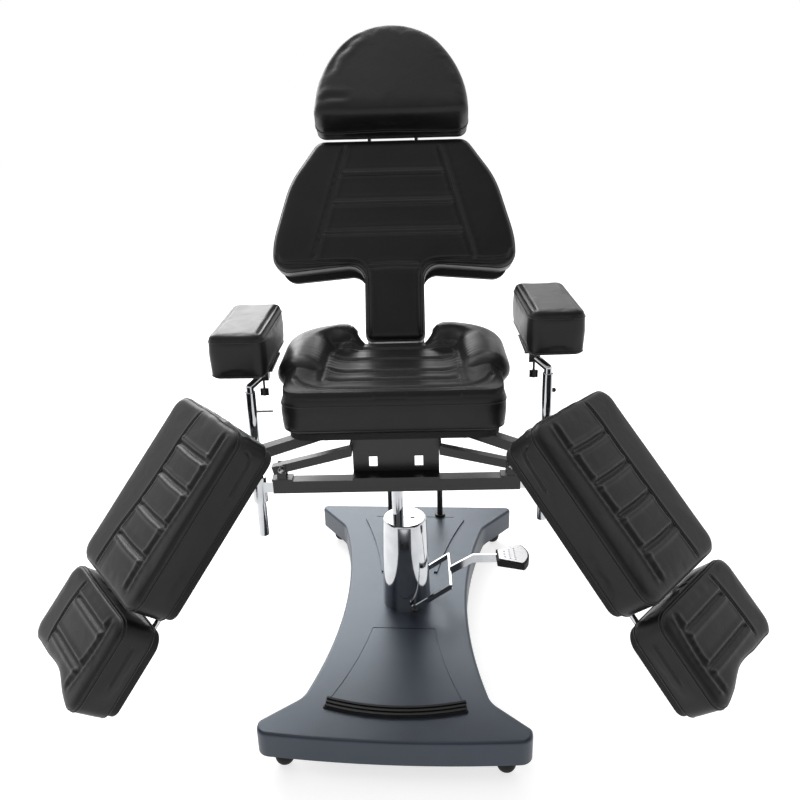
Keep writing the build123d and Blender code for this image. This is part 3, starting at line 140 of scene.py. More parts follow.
# injection-moulded ABS: a fine spark-eroded grain; its reflections are tinted blue as a painted reflection of a
# bluish sky
def makeMouldedAbs():
    look = {"grainMm": 2.2, "toneMm": 90.0, "grainDepth": 0.00025}
    material, tree, place = startMaterial("mouldedAbs")
    tone = addNode(tree, "ShaderNodeTexNoise", inputs={"Scale": perMetre(look["toneMm"]), "Detail": 2.0},
                   links={"Vector": place}).outputs["Fac"]
    colour = colourSteps(tree, tone, [(0.3, "121722"), (0.75, "1d2330")])
    # the real grain is 0.5 mm; it is drawn at 2.2 mm so that it shows
    grain = addNode(tree, "ShaderNodeTexNoise", inputs={"Scale": perMetre(look["grainMm"]), "Detail": 4.0,
                    "Roughness": 0.7}, links={"Vector": place}).outputs["Fac"]
    bump = addNode(tree, "ShaderNodeBump", inputs={"Strength": 0.8, "Distance": look["grainDepth"]},
                   links={"Height": grain})
    # painted reflection: the blue Specular Tint puts a bluish sky sheen into the plastic's reflections
    shader = addNode(tree, "ShaderNodeBsdfPrincipled",
                     inputs={"IOR": 1.53, "Specular IOR Level": 0.8, "Specular Tint": (0.76, 0.87, 1.0, 1.0)},
                     links={"Base Color": colour, "Roughness": span(tree, grain, 0.28, 0.52),
                            "Normal": bump.outputs["Normal"]})
    addNode(tree, "ShaderNodeOutputMaterial", links={"Surface": shader.outputs["BSDF"]})
    return material


# powder-coated steel: an even satin black with a slight orange peel
def makePowderCoat():
    look = {"peelMm": 3.5, "peelDepth": 0.0001}
    material, tree, place = startMaterial("powderCoatedSteel")
    peel = addNode(tree, "ShaderNodeTexNoise", inputs={"Scale": perMetre(look["peelMm"]), "Detail": 2.0},
                   links={"Vector": place}).outputs["Fac"]
    colour = colourSteps(tree, peel, [(0.3, "111112"), (0.7, "171718")])
    bump = addNode(tree, "ShaderNodeBump", inputs={"Strength": 0.5, "Distance": look["peelDepth"]},
                   links={"Height": peel})
    shader = addNode(tree, "ShaderNodeBsdfPrincipled", inputs={"IOR": 1.52},
                     links={"Base Color": colour, "Roughness": span(tree, peel, 0.3, 0.44),
                            "Normal": bump.outputs["Normal"]})
    addNode(tree, "ShaderNodeOutputMaterial", links={"Surface": shader.outputs["BSDF"]})
    return material


# metals: what is plated is mirror-smooth with faint smudges, what is brushed has short fine scratches
def makeMetal(name, colours, roughLow, roughHigh, stretch, streakMm, depth):
    material, tree, place = startMaterial(name)
    drawn = addNode(tree, "ShaderNodeMapping", inputs={"Scale": stretch}, links={"Vector": place})
    streak = addNode(tree, "ShaderNodeTexNoise", inputs={"Scale": perMetre(streakMm), "Detail": 4.0},
                     links={"Vector": drawn.outputs["Vector"]}).outputs["Fac"]
    colour = colourSteps(tree, streak, [(0.3, colours[0]), (0.7, colours[1])])
    bump = addNode(tree, "ShaderNodeBump", inputs={"Strength": 0.3, "Distance": depth}, links={"Height": streak})
    shader = addNode(tree, "ShaderNodeBsdfPrincipled", inputs={"Metallic": 1.0},
                     links={"Base Color": colour, "Roughness": span(tree, streak, roughLow, roughHigh),
                            "Normal": bump.outputs["Normal"]})
    addNode(tree, "ShaderNodeOutputMaterial", links={"Surface": shader.outputs["BSDF"]})
    return material


# moulded rubber: matt black with a dusty bloom in places
def makeRubber():
    material, tree, place = startMaterial("mouldedRubber")
    bloom = addNode(tree, "ShaderNodeTexNoise", inputs={"Scale": perMetre(14), "Detail": 5.0},
                    links={"Vector": place}).outputs["Fac"]
    grain = addNode(tree, "ShaderNodeTexNoise", inputs={"Scale": perMetre(1.6), "Detail": 3.0},
                    links={"Vector": place}).outputs["Fac"]
    bump = addNode(tree, "ShaderNodeBump", inputs={"Strength": 0.6, "Distance": 0.0002}, links={"Height": grain})
    shader = addNode(tree, "ShaderNodeBsdfPrincipled", inputs={"IOR": 1.52, "Specular IOR Level": 0.35},
                     links={"Base Color": colourSteps(tree, bloom, [(0.35, "0f0f10"), (0.75, "1a1a1b")]),
                            "Roughness": span(tree, bloom, 0.6, 0.8), "Normal": bump.outputs["Normal"]})
    addNode(tree, "ShaderNodeOutputMaterial", links={"Surface": shader.outputs["BSDF"]})
    return material


# black dust cloth stapled under plywood: a plain weave, quite matt
def makeDustCloth():
    material, tree, place = startMaterial("stapledDustCloth")
    weave = addNode(tree, "ShaderNodeTexVoronoi", {"distance": "CHEBYCHEV"},
                    {"Scale": perMetre(1.8), "Randomness": 0.0}, {"Vector": place}).outputs["Distance"]
    fibre = addNode(tree, "ShaderNodeTexNoise", inputs={"Scale": perMetre(9), "Detail": 5.0},
                    links={"Vector": place}).outputs["Fac"]
    bump = addNode(tree, "ShaderNodeBump", inputs={"Strength": 0.6, "Distance": 0.0004}, links={"Height": weave})
    shader = addNode(tree, "ShaderNodeBsdfPrincipled", inputs={"Roughness": 0.85, "Sheen Weight": 0.1},
                     links={"Base Color": colourSteps(tree, fibre, [(0.3, "0e0e0f"), (0.7, "161617")]),
                            "Normal": bump.outputs["Normal"]})
    addNode(tree, "ShaderNodeOutputMaterial", links={"Surface": shader.outputs["BSDF"]})
    return material


# moulded nylon for knobs: smooth, a little glossy
def makeNylon():
    material, tree, place = startMaterial("mouldedNylon")
    flow = addNode(tree, "ShaderNodeTexNoise", inputs={"Scale": perMetre(6), "Detail": 3.0},
                   links={"Vector": place}).outputs["Fac"]
    shader = addNode(tree, "ShaderNodeBsdfPrincipled", inputs={"IOR": 1.53},
                     links={"Base Color": colourSteps(tree, flow, [(0.3, "0b0b0c"), (0.7, "121213")]),
                            "Roughness": span(tree, flow, 0.24, 0.38)})
    addNode(tree, "ShaderNodeOutputMaterial", links={"Surface": shader.outputs["BSDF"]})
    return material


# bonded polyester thread: three plies twisted, a soft shine; the thread is black, and its mid grey colour is a
# painted highlight so the seams show as thin light lines
def makeThread():
    material, tree, place = startMaterial("bondedThreadPaintedHighlight")
    ply = addNode(tree, "ShaderNodeTexNoise", inputs={"Scale": perMetre(0.9), "Detail": 2.0},
                  links={"Vector": place}).outputs["Fac"]
    bump = addNode(tree, "ShaderNodeBump", inputs={"Strength": 0.4, "Distance": 0.0002}, links={"Height": ply})
    shader = addNode(tree, "ShaderNodeBsdfPrincipled", inputs={"Sheen Weight": 0.2},
                     # painted highlight: black thread given a grey colour
                     links={"Base Color": colourSteps(tree, ply, [(0.3, "37383a"), (0.7, "4b4c4e")]),
                            "Roughness": span(tree, ply, 0.5, 0.7), "Normal": bump.outputs["Normal"]})
    addNode(tree, "ShaderNodeOutputMaterial", links={"Surface": shader.outputs["BSDF"]})
    return material


finishes = {
    "leather": makeLeather("puLeather", "0e0e0f", "171718", 0.38),
    "textured_plastic": makeMouldedAbs(),
    "black_steel": makePowderCoat(),
    "chrome": makeMetal("chromePlate", ("b9bbbe", "c9cbce"), 0.05, 0.13, (1, 1, 1), 40, 0.00002),
    "steel": makeMetal("brushedSteel", ("9b9b9d", "b6b6b8"), 0.22, 0.38, (1, 9, 1), 6, 0.00005),
    "bronze": makeMetal("castBronze", ("8f6c35", "ab8446"), 0.28, 0.42, (1, 1, 1), 8, 0.0001),
    "rubber": makeRubber(),
    "wood": makeDustCloth(),
    "knob_plastic": makeNylon(),
}
# the piping is the same black leather as the pads; its lighter grey is a painted highlight along the bead
pipingPaintedHighlight = makeLeather("pipingPaintedHighlight", "232325", "2d2d2f", 0.34)
threadPaintedHighlight = makeThread()
for name, obj in nodes.items():
    obj.data.materials.clear()
    obj.data.materials.append(finishes[slots[name]])
print("materials made")


# shapes: outlines are drawn flat in millimetres, then stacked, filled and puffed up
def roundedLoop(corners, step=6.0):
    # corners are (x, y, radius), anticlockwise; the loop comes back as evenly spaced points
    count = len(corners)
    path = []
    for i, (x, y, radius) in enumerate(corners):
        here = np.array((x, y), float)
        before = np.array(corners[i - 1][:2], float) - here
        after = np.array(corners[(i + 1) % count][:2], float) - here
        before /= np.linalg.norm(before)
        after /= np.linalg.norm(after)
        half = math.acos(max(-1.0, min(1.0, float(before @ after)))) / 2
        back = radius / math.tan(half)
        start, end = here + before * back, here + after * back
        bisector = before + after
        centre = here + bisector / np.linalg.norm(bisector) * radius / math.sin(half)
        a, b = start - centre, end - centre
        turn = math.atan2(a[0] * b[1] - a[1] * b[0], a @ b)
        parts = max(2, int(abs(turn) * radius / step))
        for k in range(parts + 1):
            t = turn * k / parts
            c, d = math.cos(t), math.sin(t)
            path.append(centre + (a[0] * c - a[1] * d, a[0] * d + a[1] * c))
    return evenly(np.array(path), step, True)


def evenly(path, step, closed):
    # the same line with its points a step apart
    path = np.array(path, float)
    if closed:
        path = np.vstack([path, path[:1]])
    runs = np.linalg.norm(np.diff(path, axis=0), axis=1)
    at = np.concatenate([[0], np.cumsum(runs)])
    count = max(2, int(round(at[-1] / step)))
    places = np.linspace(0, at[-1], count + 1)
    if closed:
        places = places[:-1]
    return np.stack([np.interp(places, at, path[:, k]) for k in range(path.shape[1])], axis=1)


def smoothLine(points, step=5.0):
    # an open Catmull-Rom curve through the points
    pts = np.array(points, float)
    pts = np.vstack([2 * pts[0] - pts[1], pts, 2 * pts[-1] - pts[-2]])
    out = []
    for i in range(1, len(pts) - 2):
        a, b, c, d = pts[i - 1:i + 3]
        for t in np.linspace(0, 1, 12, endpoint=False):
            square, cube = (2 * a - 5 * b + 4 * c - d) * t ** 2, (3 * b - a - 3 * c + d) * t ** 3
            out.append(0.5 * (2 * b + (c - a) * t + square + cube))
    out.append(pts[-2])
    return evenly(out, step, False)


def inwards(loop):
    # unit normals of a closed anticlockwise loop, pointing in
    along = np.roll(loop, -1, axis=0) - np.roll(loop, 1, axis=0)
    along /= np.linalg.norm(along, axis=1)[:, None]
    return np.stack([-along[:, 1], along[:, 0]], axis=1)


def addShell(bm, rings):
    # rings of points, lowest first, closed with a face at each end
    made = [[bm.verts.new(point) for point in ring] for ring in rings]
    for low, high in zip(made, made[1:]):
        for i in range(len(low)):
            j = (i + 1) % len(low)
            bm.faces.new((low[i], low[j], high[j], high[i]))
    bm.faces.new(list(reversed(made[0])))
    bm.faces.new(made[-1])


def stackedRings(loop, thickness, levels):
    normal = inwards(loop)
    rings = []
    for share, inset in levels:
        ring = loop + normal * inset
        rings.append([(x / 1000, y / 1000, share * thickness / 1000) for x, y in ring])
    return rings


def evaluatedMesh(obj):
    graph = bpy.context.evaluated_depsgraph_get()
    return bpy.data.meshes.new_from_object(obj.evaluated_get(graph), depsgraph=graph)


def readPoints(mesh):
    points = np.empty(len(mesh.vertices) * 3)
    mesh.vertices.foreach_get("co", points)
    return points.reshape(-1, 3)


def readNormals(mesh):
    normals = np.empty(len(mesh.vertices) * 3)
    mesh.vertices.foreach_get("normal", normals)
    return normals.reshape(-1, 3)


puff = {"smoothing": 4, "pressure": 4, "quality": 4, "frames": 20, "flatShare": 0.25}


def puffed(name, bm, voxel, cap, thickness):
    # voxel remesh, cloth pressure with the movement capped, then one subdivision
    mesh = bpy.data.meshes.new(name)
    bmesh.ops.recalc_face_normals(bm, faces=bm.faces)
    bm.to_mesh(mesh)
    bm.free()
    work = bpy.data.objects.new(name + "Work", mesh)
    scene.collection.objects.link(work)
    remesh = work.modifiers.new("remesh", "REMESH")
    remesh.mode = "VOXEL"
    remesh.voxel_size = voxel
    filled = evaluatedMesh(work)
    work.modifiers.clear()
    work.data = filled
    smooth = work.modifiers.new("smooth", "SMOOTH")
    smooth.factor = 0.5
    smooth.iterations = puff["smoothing"]
    work.data = evaluatedMesh(work)
    work.modifiers.clear()
    before = readPoints(work.data)
    cloth = work.modifiers.new("cloth", "CLOTH")
    cloth.settings.use_pressure = True
    cloth.settings.uniform_pressure_force = puff["pressure"]
    cloth.settings.effector_weights.gravity = 0
    cloth.settings.quality = puff["quality"]
    cloth.point_cache.frame_start = 1
    cloth.point_cache.frame_end = puff["frames"]
    for number in range(1, puff["frames"] + 1):
        scene.frame_set(number)
    swollen = evaluatedMesh(work)
    move = readPoints(swollen) - before
    size = np.linalg.norm(move, axis=1)
    move *= np.minimum(1, cap / np.maximum(size, 1e-9))[:, None]
    # what rests on the board stays flat
    rise = np.clip(before[:, 2] / (puff["flatShare"] * thickness), 0, 1)
    move *= (rise * rise * (3 - 2 * rise))[:, None]
    before = before + move
    work.modifiers.clear()
    scene.frame_set(1)
    work.data.vertices.foreach_set("co", before.ravel())
    work.data.update()
    divide = work.modifiers.new("divide", "SUBSURF")
    divide.levels = 1
    divide.render_levels = 1
    final = evaluatedMesh(work)
    work.modifiers.clear()
    bpy.data.objects.remove(work)
    return final


def distanceTo(points, path):
    # each point's distance from a flat line, and how far along the line that is
    best = np.full(len(points), 1e9)
    along = np.zeros(len(points))
    travelled = 0.0
    for a, b in zip(path, path[1:]):
        run = b - a
        length = float(np.linalg.norm(run))
        t = np.clip(((points - a) @ run) / length ** 2, 0, 1)
        gap = np.linalg.norm(points - (a + t[:, None] * run), axis=1)
        near = gap < best
        best[near] = gap[near]
        along[near] = travelled + t[near] * length
        travelled += length
    return best, along, travelled


def sink(points, facing, line, axes=(0, 1), push=2):
    # presses a sewn line into the pad; widths and depths in millimetres
    path = evenly(np.array(line["path"], float), 10, False) / 1000
    flat = points[:, axes]
    gap, along, total = distanceTo(flat, path)
    width, depth = line["width"] / 1000, line["depth"] / 1000
    taper = line.get("taper", 12) / 1000
    ends = np.clip(np.minimum(along, total - along) / taper, 0, 1) if taper else 1
    shape = -depth * np.exp(-(gap / width) ** 2)
    shape += line.get("lip", 0.22) * depth * np.exp(-((gap - 2.1 * width) / width) ** 2)
    if "pucker" in line:
        pitch, size, reach = [v / 1000 for v in line["pucker"]]
        wave = np.sin(along / pitch * 2 * math.pi) + 0.6 * np.sin(along / pitch * 2.3 * math.pi + 1.3)
        shape += size * wave * np.exp(-gap / reach) * (1 - np.exp(-(gap / width) ** 2))
    weight = np.clip((facing - 0.15) / 0.35, 0, 1)
    points[:, push] += line.get("sign", 1) * shape * ends * weight


threadLift, weltLift = 0.0002, 0.0004  # how far thread and piping stand off the skin
lineStep = 4  # millimetres between the points of a line on a pad


def onTop(tree, path, lift=threadLift):
    # points of a flat line dropped onto the pad from above
    out = []
    for x, y in evenly(path, lineStep, False) / 1000:
        hit, normal = tree.ray_cast(Vector((x, y, 1)), Vector((0, 0, -1)))[:2]
        if hit is not None:
            out.append(hit + normal * lift)
    return out


rimReach = 0.08  # how far outside the pad a ray towards its rim starts


def onRim(tree, loop, height, lift=weltLift):
    # points all round the pad's rim at one height, the first one again at the end
    normal = inwards(loop)
    count = len(loop)
    out = []
    for i in range(count + 1):
        x, y = loop[i % count] / 1000
        nx, ny = normal[i % count]
        way = Vector((nx, ny, 0)).normalized()
        start = Vector((x, y, height / 1000)) - way * rimReach
        hit, face = tree.ray_cast(start, way)[:2]
        if hit is not None:
            out.append(hit + face * lift)
    return out


threads = {}  # body: list of lines that get stitches
welts = {}  # body: list of lines that get a sewn-in piping


def finishPad(name, mesh, place, body, mirrorIt=False):
    mesh.transform(place)
    if mirrorIt:
        mesh.flip_normals()
    for polygon in mesh.polygons:
        polygon.use_smooth = True
    mesh.materials.clear()
    mesh.materials.append(finishes["leather"])
    mesh.update()
    pad = bpy.data.objects.new(name, mesh)
    scene.collection.objects.link(pad)
    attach(pad, body)
    return pad


def reshape(mesh, points):
    # gives the mesh its new points, and returns the tree that rays are cast at
    mesh.vertices.foreach_set("co", points.ravel())
    mesh.update()
    return BVHTree.FromPolygons([v.co for v in mesh.vertices], [p.vertices for p in mesh.polygons])


def keepLines(store, body, place, lines):
    store.setdefault(body, []).extend([[place @ point for point in line] for line in lines if len(line) > 2])


# legs and feet: drawn for the right side; the left ones are mirrored
leg = {
    "width": 283, "length": 396, "thickness": 86, "corner": 32, "offset": -11, "centreY": -376, "low": 609.4,
    "levels": ((0, 5), (0.05, 1), (0.2, 0), (0.5, 0), (0.84, 0), (0.94, 2), (0.985, 6), (1.0, 12)),
    "voxel": 0.005, "cap": 0.0012,
}
foot = {
    "half": 141.5, "inner": 196, "outer": 173, "dip": 168, "thickness": 82, "corner": 32, "low": 609.4,
    "topY": -588,
    "levels": ((0, 5), (0.05, 1), (0.2, 0), (0.5, 0), (0.84, 0), (0.94, 2), (0.985, 6), (1.0, 12)),
    "voxel": 0.005, "cap": 0.0012,
}
sides = {
    "left": {"sign": -1, "swing": 52, "tilt": 48,
             "border": [(-99, 14), (-98, 83), (-96, 153), (-90, 234), (-86, 310), (-88, 372)],
             "outerSeam": [(24, 8), (33, 76), (36, 157), (42, 228), (54, 295), (60, 384)],
             "channels": [(84, -97, 34), (153, -96, 36), (229, -91, 40), (302, -87, 50)],
             "footBorder": [(-94, 12), (-98, 60), (-92, 120), (-84, 172)],
             "footSeam": [(58, 10), (67, 68), (66, 120), (62, 152)],
             "footChannels": [(44, -94, 62), (125, -92, 66)]},
    "right": {"sign": 1, "swing": 48, "tilt": 45,
              "border": [(-79, 14), (-81, 60), (-79, 142), (-76, 230), (-75, 306), (-78, 372)],
              "outerSeam": [(46, 8), (50, 53), (50, 120), (52, 200), (55, 300), (60, 384)],
              "channels": [(82, -81, 48), (155, -79, 50), (228, -76, 52), (306, -75, 55)],
              "footBorder": [(-98, 12), (-104, 60), (-108, 110), (-104, 178)],
              "footSeam": [(58, 10), (66, 60), (70, 120), (70, 152)],
              "footChannels": [(52, -100, 62), (125, -106, 68)]},
}


def legPlace(side):
    spec = sides[side]
    sign = spec["sign"]
    place = Matrix.Translation((sign * 0.158, 0, 0)) @ Matrix.Rotation(math.radians(sign * spec["swing"]), 4, "Z")
    place = place @ Matrix.Translation((0, -0.22, 0.578)) @ Matrix.Rotation(math.radians(spec["tilt"]), 4, "X")
    place = place @ Matrix.Translation((0, 0.22, -0.578))
    return place @ Matrix.Diagonal((sign, 1, 1, 1))


def footLoop():
    half, inner, outer, dip, corner = foot["half"], foot["inner"], foot["outer"], foot["dip"], foot["corner"]
    toe = smoothLine([(24 - half, -inner), (-70, -inner + 9), (-14, -dip), (50, -outer + 1),
                      (half - corner, -outer)], 6)
    arcs = roundedLoop([(-half, 0, corner), (-half, -inner, 24), (half, -outer, corner), (half, 0, corner)])
    upper = arcs[arcs[:, 1] > -outer + corner - 1]
    side = [p for p in arcs if p[1] <= -outer + corner - 1]
    left = [p for p in side if p[0] < -half + 24]
    right = [p for p in side if p[0] > half - corner]
    ring = np.array(left + list(toe) + right + list(upper))
    middle = np.array((0.0, -90.0))
    angle = np.arctan2(ring[:, 1] - middle[1], ring[:, 0] - middle[0])
    return evenly(ring[np.argsort(angle)], 6, True)


def boxLoop(spec):
    # the outline of a plain rounded box, drawn about its middle
    half, long = spec["width"] / 2, spec["length"] / 2
    return roundedLoop([(x * half, y * long, spec["corner"]) for x, y in ((-1, -1), (1, -1), (1, 1), (-1, 1))])


def basePad(name, loop, spec):
    bm = bmesh.new()
    addShell(bm, stackedRings(loop, spec["thickness"], spec["levels"]))
    return puffed(name, bm, spec["voxel"], spec["cap"], spec["thickness"] / 1000)


legLoop, footRing = boxLoop(leg), footLoop()
legBase = basePad("legPad", legLoop, leg)
footBase = basePad("footPad", footRing, foot)
print("leg and foot pads puffed")


def softBulge(points, facing, boxes):
    # sewn blocks swell a little between their seams; boxes are (x0, x1, y0, y1, rise) in millimetres
    for x0, x1, y0, y1, rise in boxes:
        u = (points[:, 0] * 1000 - x0) / (x1 - x0)
        v = (points[:, 1] * 1000 - y0) / (y1 - y0)
        inside = (u > 0) & (u < 1) & (v > 0) & (v < 1) & (facing > 0.2)
        swell = (np.sin(np.clip(u, 0, 1) * math.pi) * np.sin(np.clip(v, 0, 1) * math.pi)) ** 0.5
        points[:, 2] += np.where(inside, rise / 1000 * swell, 0)


for side, spec in sides.items():
    top = leg["length"] / 2
    mesh = legBase.copy()
    points, normals = readPoints(mesh), readNormals(mesh)
    borderLine = smoothLine([(x, top - s) for x, s in spec["border"]])
    outerLine = smoothLine([(x, top - s) for x, s in spec["outerSeam"]])
    rows = [0] + [s for s, a, b in spec["channels"]] + [388]
    boxes = [(spec["channels"][0][1] + 4, spec["channels"][0][2] - 2, top - low, top - high, 1.6)
             for high, low in zip(rows, rows[1:])]
    softBulge(points, normals[:, 2], boxes)
    lines = [{"path": borderLine, "width": 5, "depth": 2.6, "lip": 0.5, "pucker": (17, 0.7, 9)},
             {"path": outerLine, "width": 3, "depth": 2.6, "lip": 0.3}]
    for s, a, b in spec["channels"]:
        lines.append({"path": [(a - 2, top - s), ((a + b) / 2, top - s - 2), (b + 2, top - s)],
                      "width": 5.5, "depth": 5.5, "lip": 0.45, "taper": 8})
    for line in lines:
        sink(points, normals[:, 2], line)
    # the closed slit low on the inner wall
    slit = {"path": smoothLine([(top - 26, 58), (top - 32, 40), (top - 62, 34), (top - 124, 30)]), "width": 2.4,
            "depth": 3.5, "sign": -1}
    sink(points, -normals[:, 0], slit, axes=(1, 2), push=0)
    # the loose skin gathers at the upper end
    for path in ([(-126, 70), (-80, 52), (-34, 58)], [(-110, 34), (-50, 44), (14, 30)],
                 [(-60, 74), (-6, 60), (52, 68)]):
        sink(points, normals[:, 1], {"path": path, "width": 7, "depth": 4, "lip": 0.5, "taper": 25}, (0, 2), 1)
    tree = reshape(mesh, points)
    place = legPlace(side) @ Matrix.Translation((leg["offset"] / 1000, leg["centreY"] / 1000, leg["low"] / 1000))
    body = side + "_leg_pad"
    double = [outerLine + (shift, 0) for shift in (-2.4, 2.4)]
    stitched = [onTop(tree, line) for line in double]
    stitched.append(onTop(tree, borderLine + (-5, 0)))
    for s, a, b in spec["channels"]:
        for shift in (-5.5, 5.5):
            stitched.append(onTop(tree, [(a + 6, top - s + shift), (b - 5, top - s + shift)]))
    keepLines(threads, body, place, stitched)
    keepLines(welts, body, place, [onRim(tree, legLoop, height) for height in (78, 72, 6)])
    pad = finishPad(side + "LegPad", mesh, place, body, spec["sign"] < 0)
    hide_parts(side + "_leg_cushion")

    mesh = footBase.copy()
    points, normals = readPoints(mesh), readNormals(mesh)
    borderLine = smoothLine([(x, -s) for x, s in spec["footBorder"]])
    outerLine = smoothLine([(x, -s) for x, s in spec["footSeam"]])
    rows = [0] + [s for s, a, b in spec["footChannels"]] + [178]
    softBulge(points, normals[:, 2], [(-92, 60, -low, -high, 1.6) for high, low in zip(rows, rows[1:])])
    lines = [{"path": borderLine, "width": 5, "depth": 2.6, "lip": 0.5, "pucker": (15, 0.6, 8)},
             {"path": outerLine, "width": 3, "depth": 2.6, "lip": 0.3}]
    for s, a, b in spec["footChannels"]:
        lines.append({"path": [(a, -s), (b, -s)], "width": 5.5, "depth": 5, "lip": 0.45, "taper": 8})
    for line in lines:
        sink(points, normals[:, 2], line)
    slit = {"path": [(-34, 40), (-128, 40)], "width": 2.4, "depth": 3.5, "sign": -1}
    sink(points, -normals[:, 0], slit, axes=(1, 2), push=0)
    tree = reshape(mesh, points)
    place = legPlace(side) @ Matrix.Translation((leg["offset"] / 1000, foot["topY"] / 1000, foot["low"] / 1000))
    body = side + "_foot"
    stitched = [onTop(tree, outerLine + (shift, 0)) for shift in (-2.4, 2.4)]
    stitched.append(onTop(tree, borderLine + (-5, 0)))
    for s, a, b in spec["footChannels"]:
        for shift in (-5, 5):
            stitched.append(onTop(tree, [(a + 6, -s + shift), (b - 5, -s + shift)]))
    keepLines(threads, body, place, stitched)
    keepLines(welts, body, place, [onRim(tree, footRing, height) for height in (75, 69, 6)])
    pad = finishPad(side + "FootPad", mesh, place, body, spec["sign"] < 0)
    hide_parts(side + "_foot_cushion")
print("leg and foot pads sewn")

# seat: one pad with a broad roll along each side and round the rear corners
seat = {
    "half": 243, "front": -127, "rear": 259, "notch": 88, "notchY": 209, "low": 601.4, "thickness": 97,
    "levels": ((0, 14), (0.06, 7), (0.16, 3), (0.5, 1), (0.76, 3), (0.9, 9), (0.98, 20), (1.0, 34)),
    "rollX": 205, "rollHalf": 53, "rollHigh": 39, "rollZ": 101, "rollFront": -43, "rollRear": 221, "rollTurn": 74,
    "rollEnd": 93, "voxel": 0.0055, "cap": 0.0014,
    "channels": (-52, 0, 80, 155), "panelHalf": 148,
    "saddleLow": 97, "saddleRise": 39, "saddleReach": 54, "saddleStart": 125, "saddleEnd": 30, "rimRun": 34,
    "saddleFloor": 82, "outerEnd": 12,
}
seatCorners = [(-seat["half"], seat["front"], 42), (seat["half"], seat["front"], 42),
               (seat["half"], seat["rear"], 88),
               (seat["notch"], seat["rear"], 12), (seat["notch"], seat["notchY"], 12),
               (-seat["notch"], seat["notchY"], 12), (-seat["notch"], seat["rear"], 12),
               (-seat["half"], seat["rear"], 88)]
seatLoop = roundedLoop(seatCorners)


def rollRings(sign):
    # rings of the roll's oval section along its path, closing to rounded ends
    x, turn, rear = seat["rollX"], seat["rollTurn"], seat["rollRear"]
    path = [(x, seat["rollFront"]), (x, rear - turn)]
    path += [(x - turn + turn * math.cos(a), rear - turn + turn * math.sin(a))
             for a in np.linspace(0.15, math.pi / 2, 9)]
    path += [(seat["rollEnd"], rear)]
    path = evenly(path, 8, False)
    along = np.gradient(path, axis=0)
    along /= np.linalg.norm(along, axis=1)[:, None]
    across = np.stack([along[:, 1], -along[:, 0]], axis=1)
    travelled = np.concatenate([[0], np.cumsum(np.linalg.norm(np.diff(path, axis=0), axis=1))])
    total = travelled[-1]
    rings = []
    for point, side, at in zip(path, across, travelled):
        near = min(at / 46, (total - at) / 26, 1)
        size = max(0.12, math.sqrt(max(0, 1 - (1 - near) ** 2)))
        ring = []
        for angle in np.linspace(0, 2 * math.pi, 28, endpoint=False):
            out = math.cos(angle) * seat["rollHalf"] * (0.45 + 0.55 * size)
            up = math.sin(angle) * seat["rollHigh"] * size
            px, py = point + side * out
            ring.append((sign * px / 1000, py / 1000, (seat["rollZ"] + up) / 1000))
        rings.append(ring if sign > 0 else ring[::-1])
    return rings


bm = bmesh.new()
addShell(bm, stackedRings(seatLoop, seat["thickness"], seat["levels"]))
for sign in (1, -1):
    addShell(bm, rollRings(sign))
mesh = puffed("seatPad", bm, seat["voxel"], seat["cap"], seat["thickness"] / 1000)
points, normals = readPoints(mesh), readNormals(mesh)
# the panel rises into each roll like a saddle, and the roll runs out forwards in a long soft slope
for sign in (1, -1):
    x, turn, rear = seat["rollX"], seat["rollTurn"], seat["rollRear"]
    crest = [(x - 8, seat["front"] + 14), (x, seat["rollFront"] + 30), (x, rear - turn)]
    crest += [(x - turn * (1 - math.cos(a)), rear - turn * (1 - math.sin(a)))
              for a in (0.4, 0.8, 1.2, math.pi / 2)]
    crest = np.array(crest + [(seat["rollEnd"] - 20, rear)]) * (sign, 1)
    gap, along, total = distanceTo(points[:, :2], crest / 1000)
    start = np.clip(along / (seat["saddleStart"] / 1000), 0, 1)
    fade = start * start * (3 - 2 * start) * np.clip((total - along) / (seat["saddleEnd"] / 1000), 0, 1)
    room = (seat["half"] / 1000 - np.abs(points[:, 0])) / (seat["rimRun"] / 1000)
    inner = np.abs(points[:, 0]) < x / 1000
    hump = np.exp(-(gap / (seat["saddleReach"] / 1000)) ** 2) * fade
    hump *= np.where(inner, 1, np.sqrt(np.clip(room, 0, 1)))
    saddle = seat["saddleLow"] / 1000 + seat["saddleRise"] / 1000 * hump
    lifted = (points[:, 0] * sign > 0) & (normals[:, 2] > 0.1) & (points[:, 2] > seat["saddleFloor"] / 1000)
    lifted &= inner | (points[:, 1] < seat["outerEnd"] / 1000)
    points[:, 2] = np.where(lifted, np.maximum(points[:, 2], saddle), points[:, 2])
panel = seat["panelHalf"]
rows = (-108,) + seat["channels"] + (200,)
softBulge(points, normals[:, 2], [(-panel, panel, a, b, 1.5) for a, b in zip(rows, rows[1:])])
for y in seat["channels"]:
    sink(points, normals[:, 2], {"path": [(-panel, y), (panel, y)], "width": 6, "depth": 5, "lip": 0.2})
frontSeam = smoothLine([(-214, -58), (-190, -84), (-120, -97), (0, -101), (120, -97), (190, -84), (214, -58)])
sink(points, normals[:, 2], {"path": frontSeam, "width": 4, "depth": 2.4, "lip": 0.25, "taper": 4})
for sign in (1, -1):
    valley = smoothLine([(sign * x, y) for x, y in ((156, -70), (152, 40), (148, 120), (128, 168), (92, 180))])
    sink(points, normals[:, 2], {"path": valley, "width": 5, "depth": 2.5, "pucker": (19, 0.8, 12)})
tree = reshape(mesh, points)
place = Matrix.Translation((0, 0, seat["low"] / 1000))
stitched = [onTop(tree, frontSeam + (0, shift)) for shift in (-2.5, 3.5)]
for y in seat["channels"]:
    for shift in (-4.5, 4.5):
        stitched.append(onTop(tree, [(12 - panel, y + shift), (panel - 12, y + shift)]))
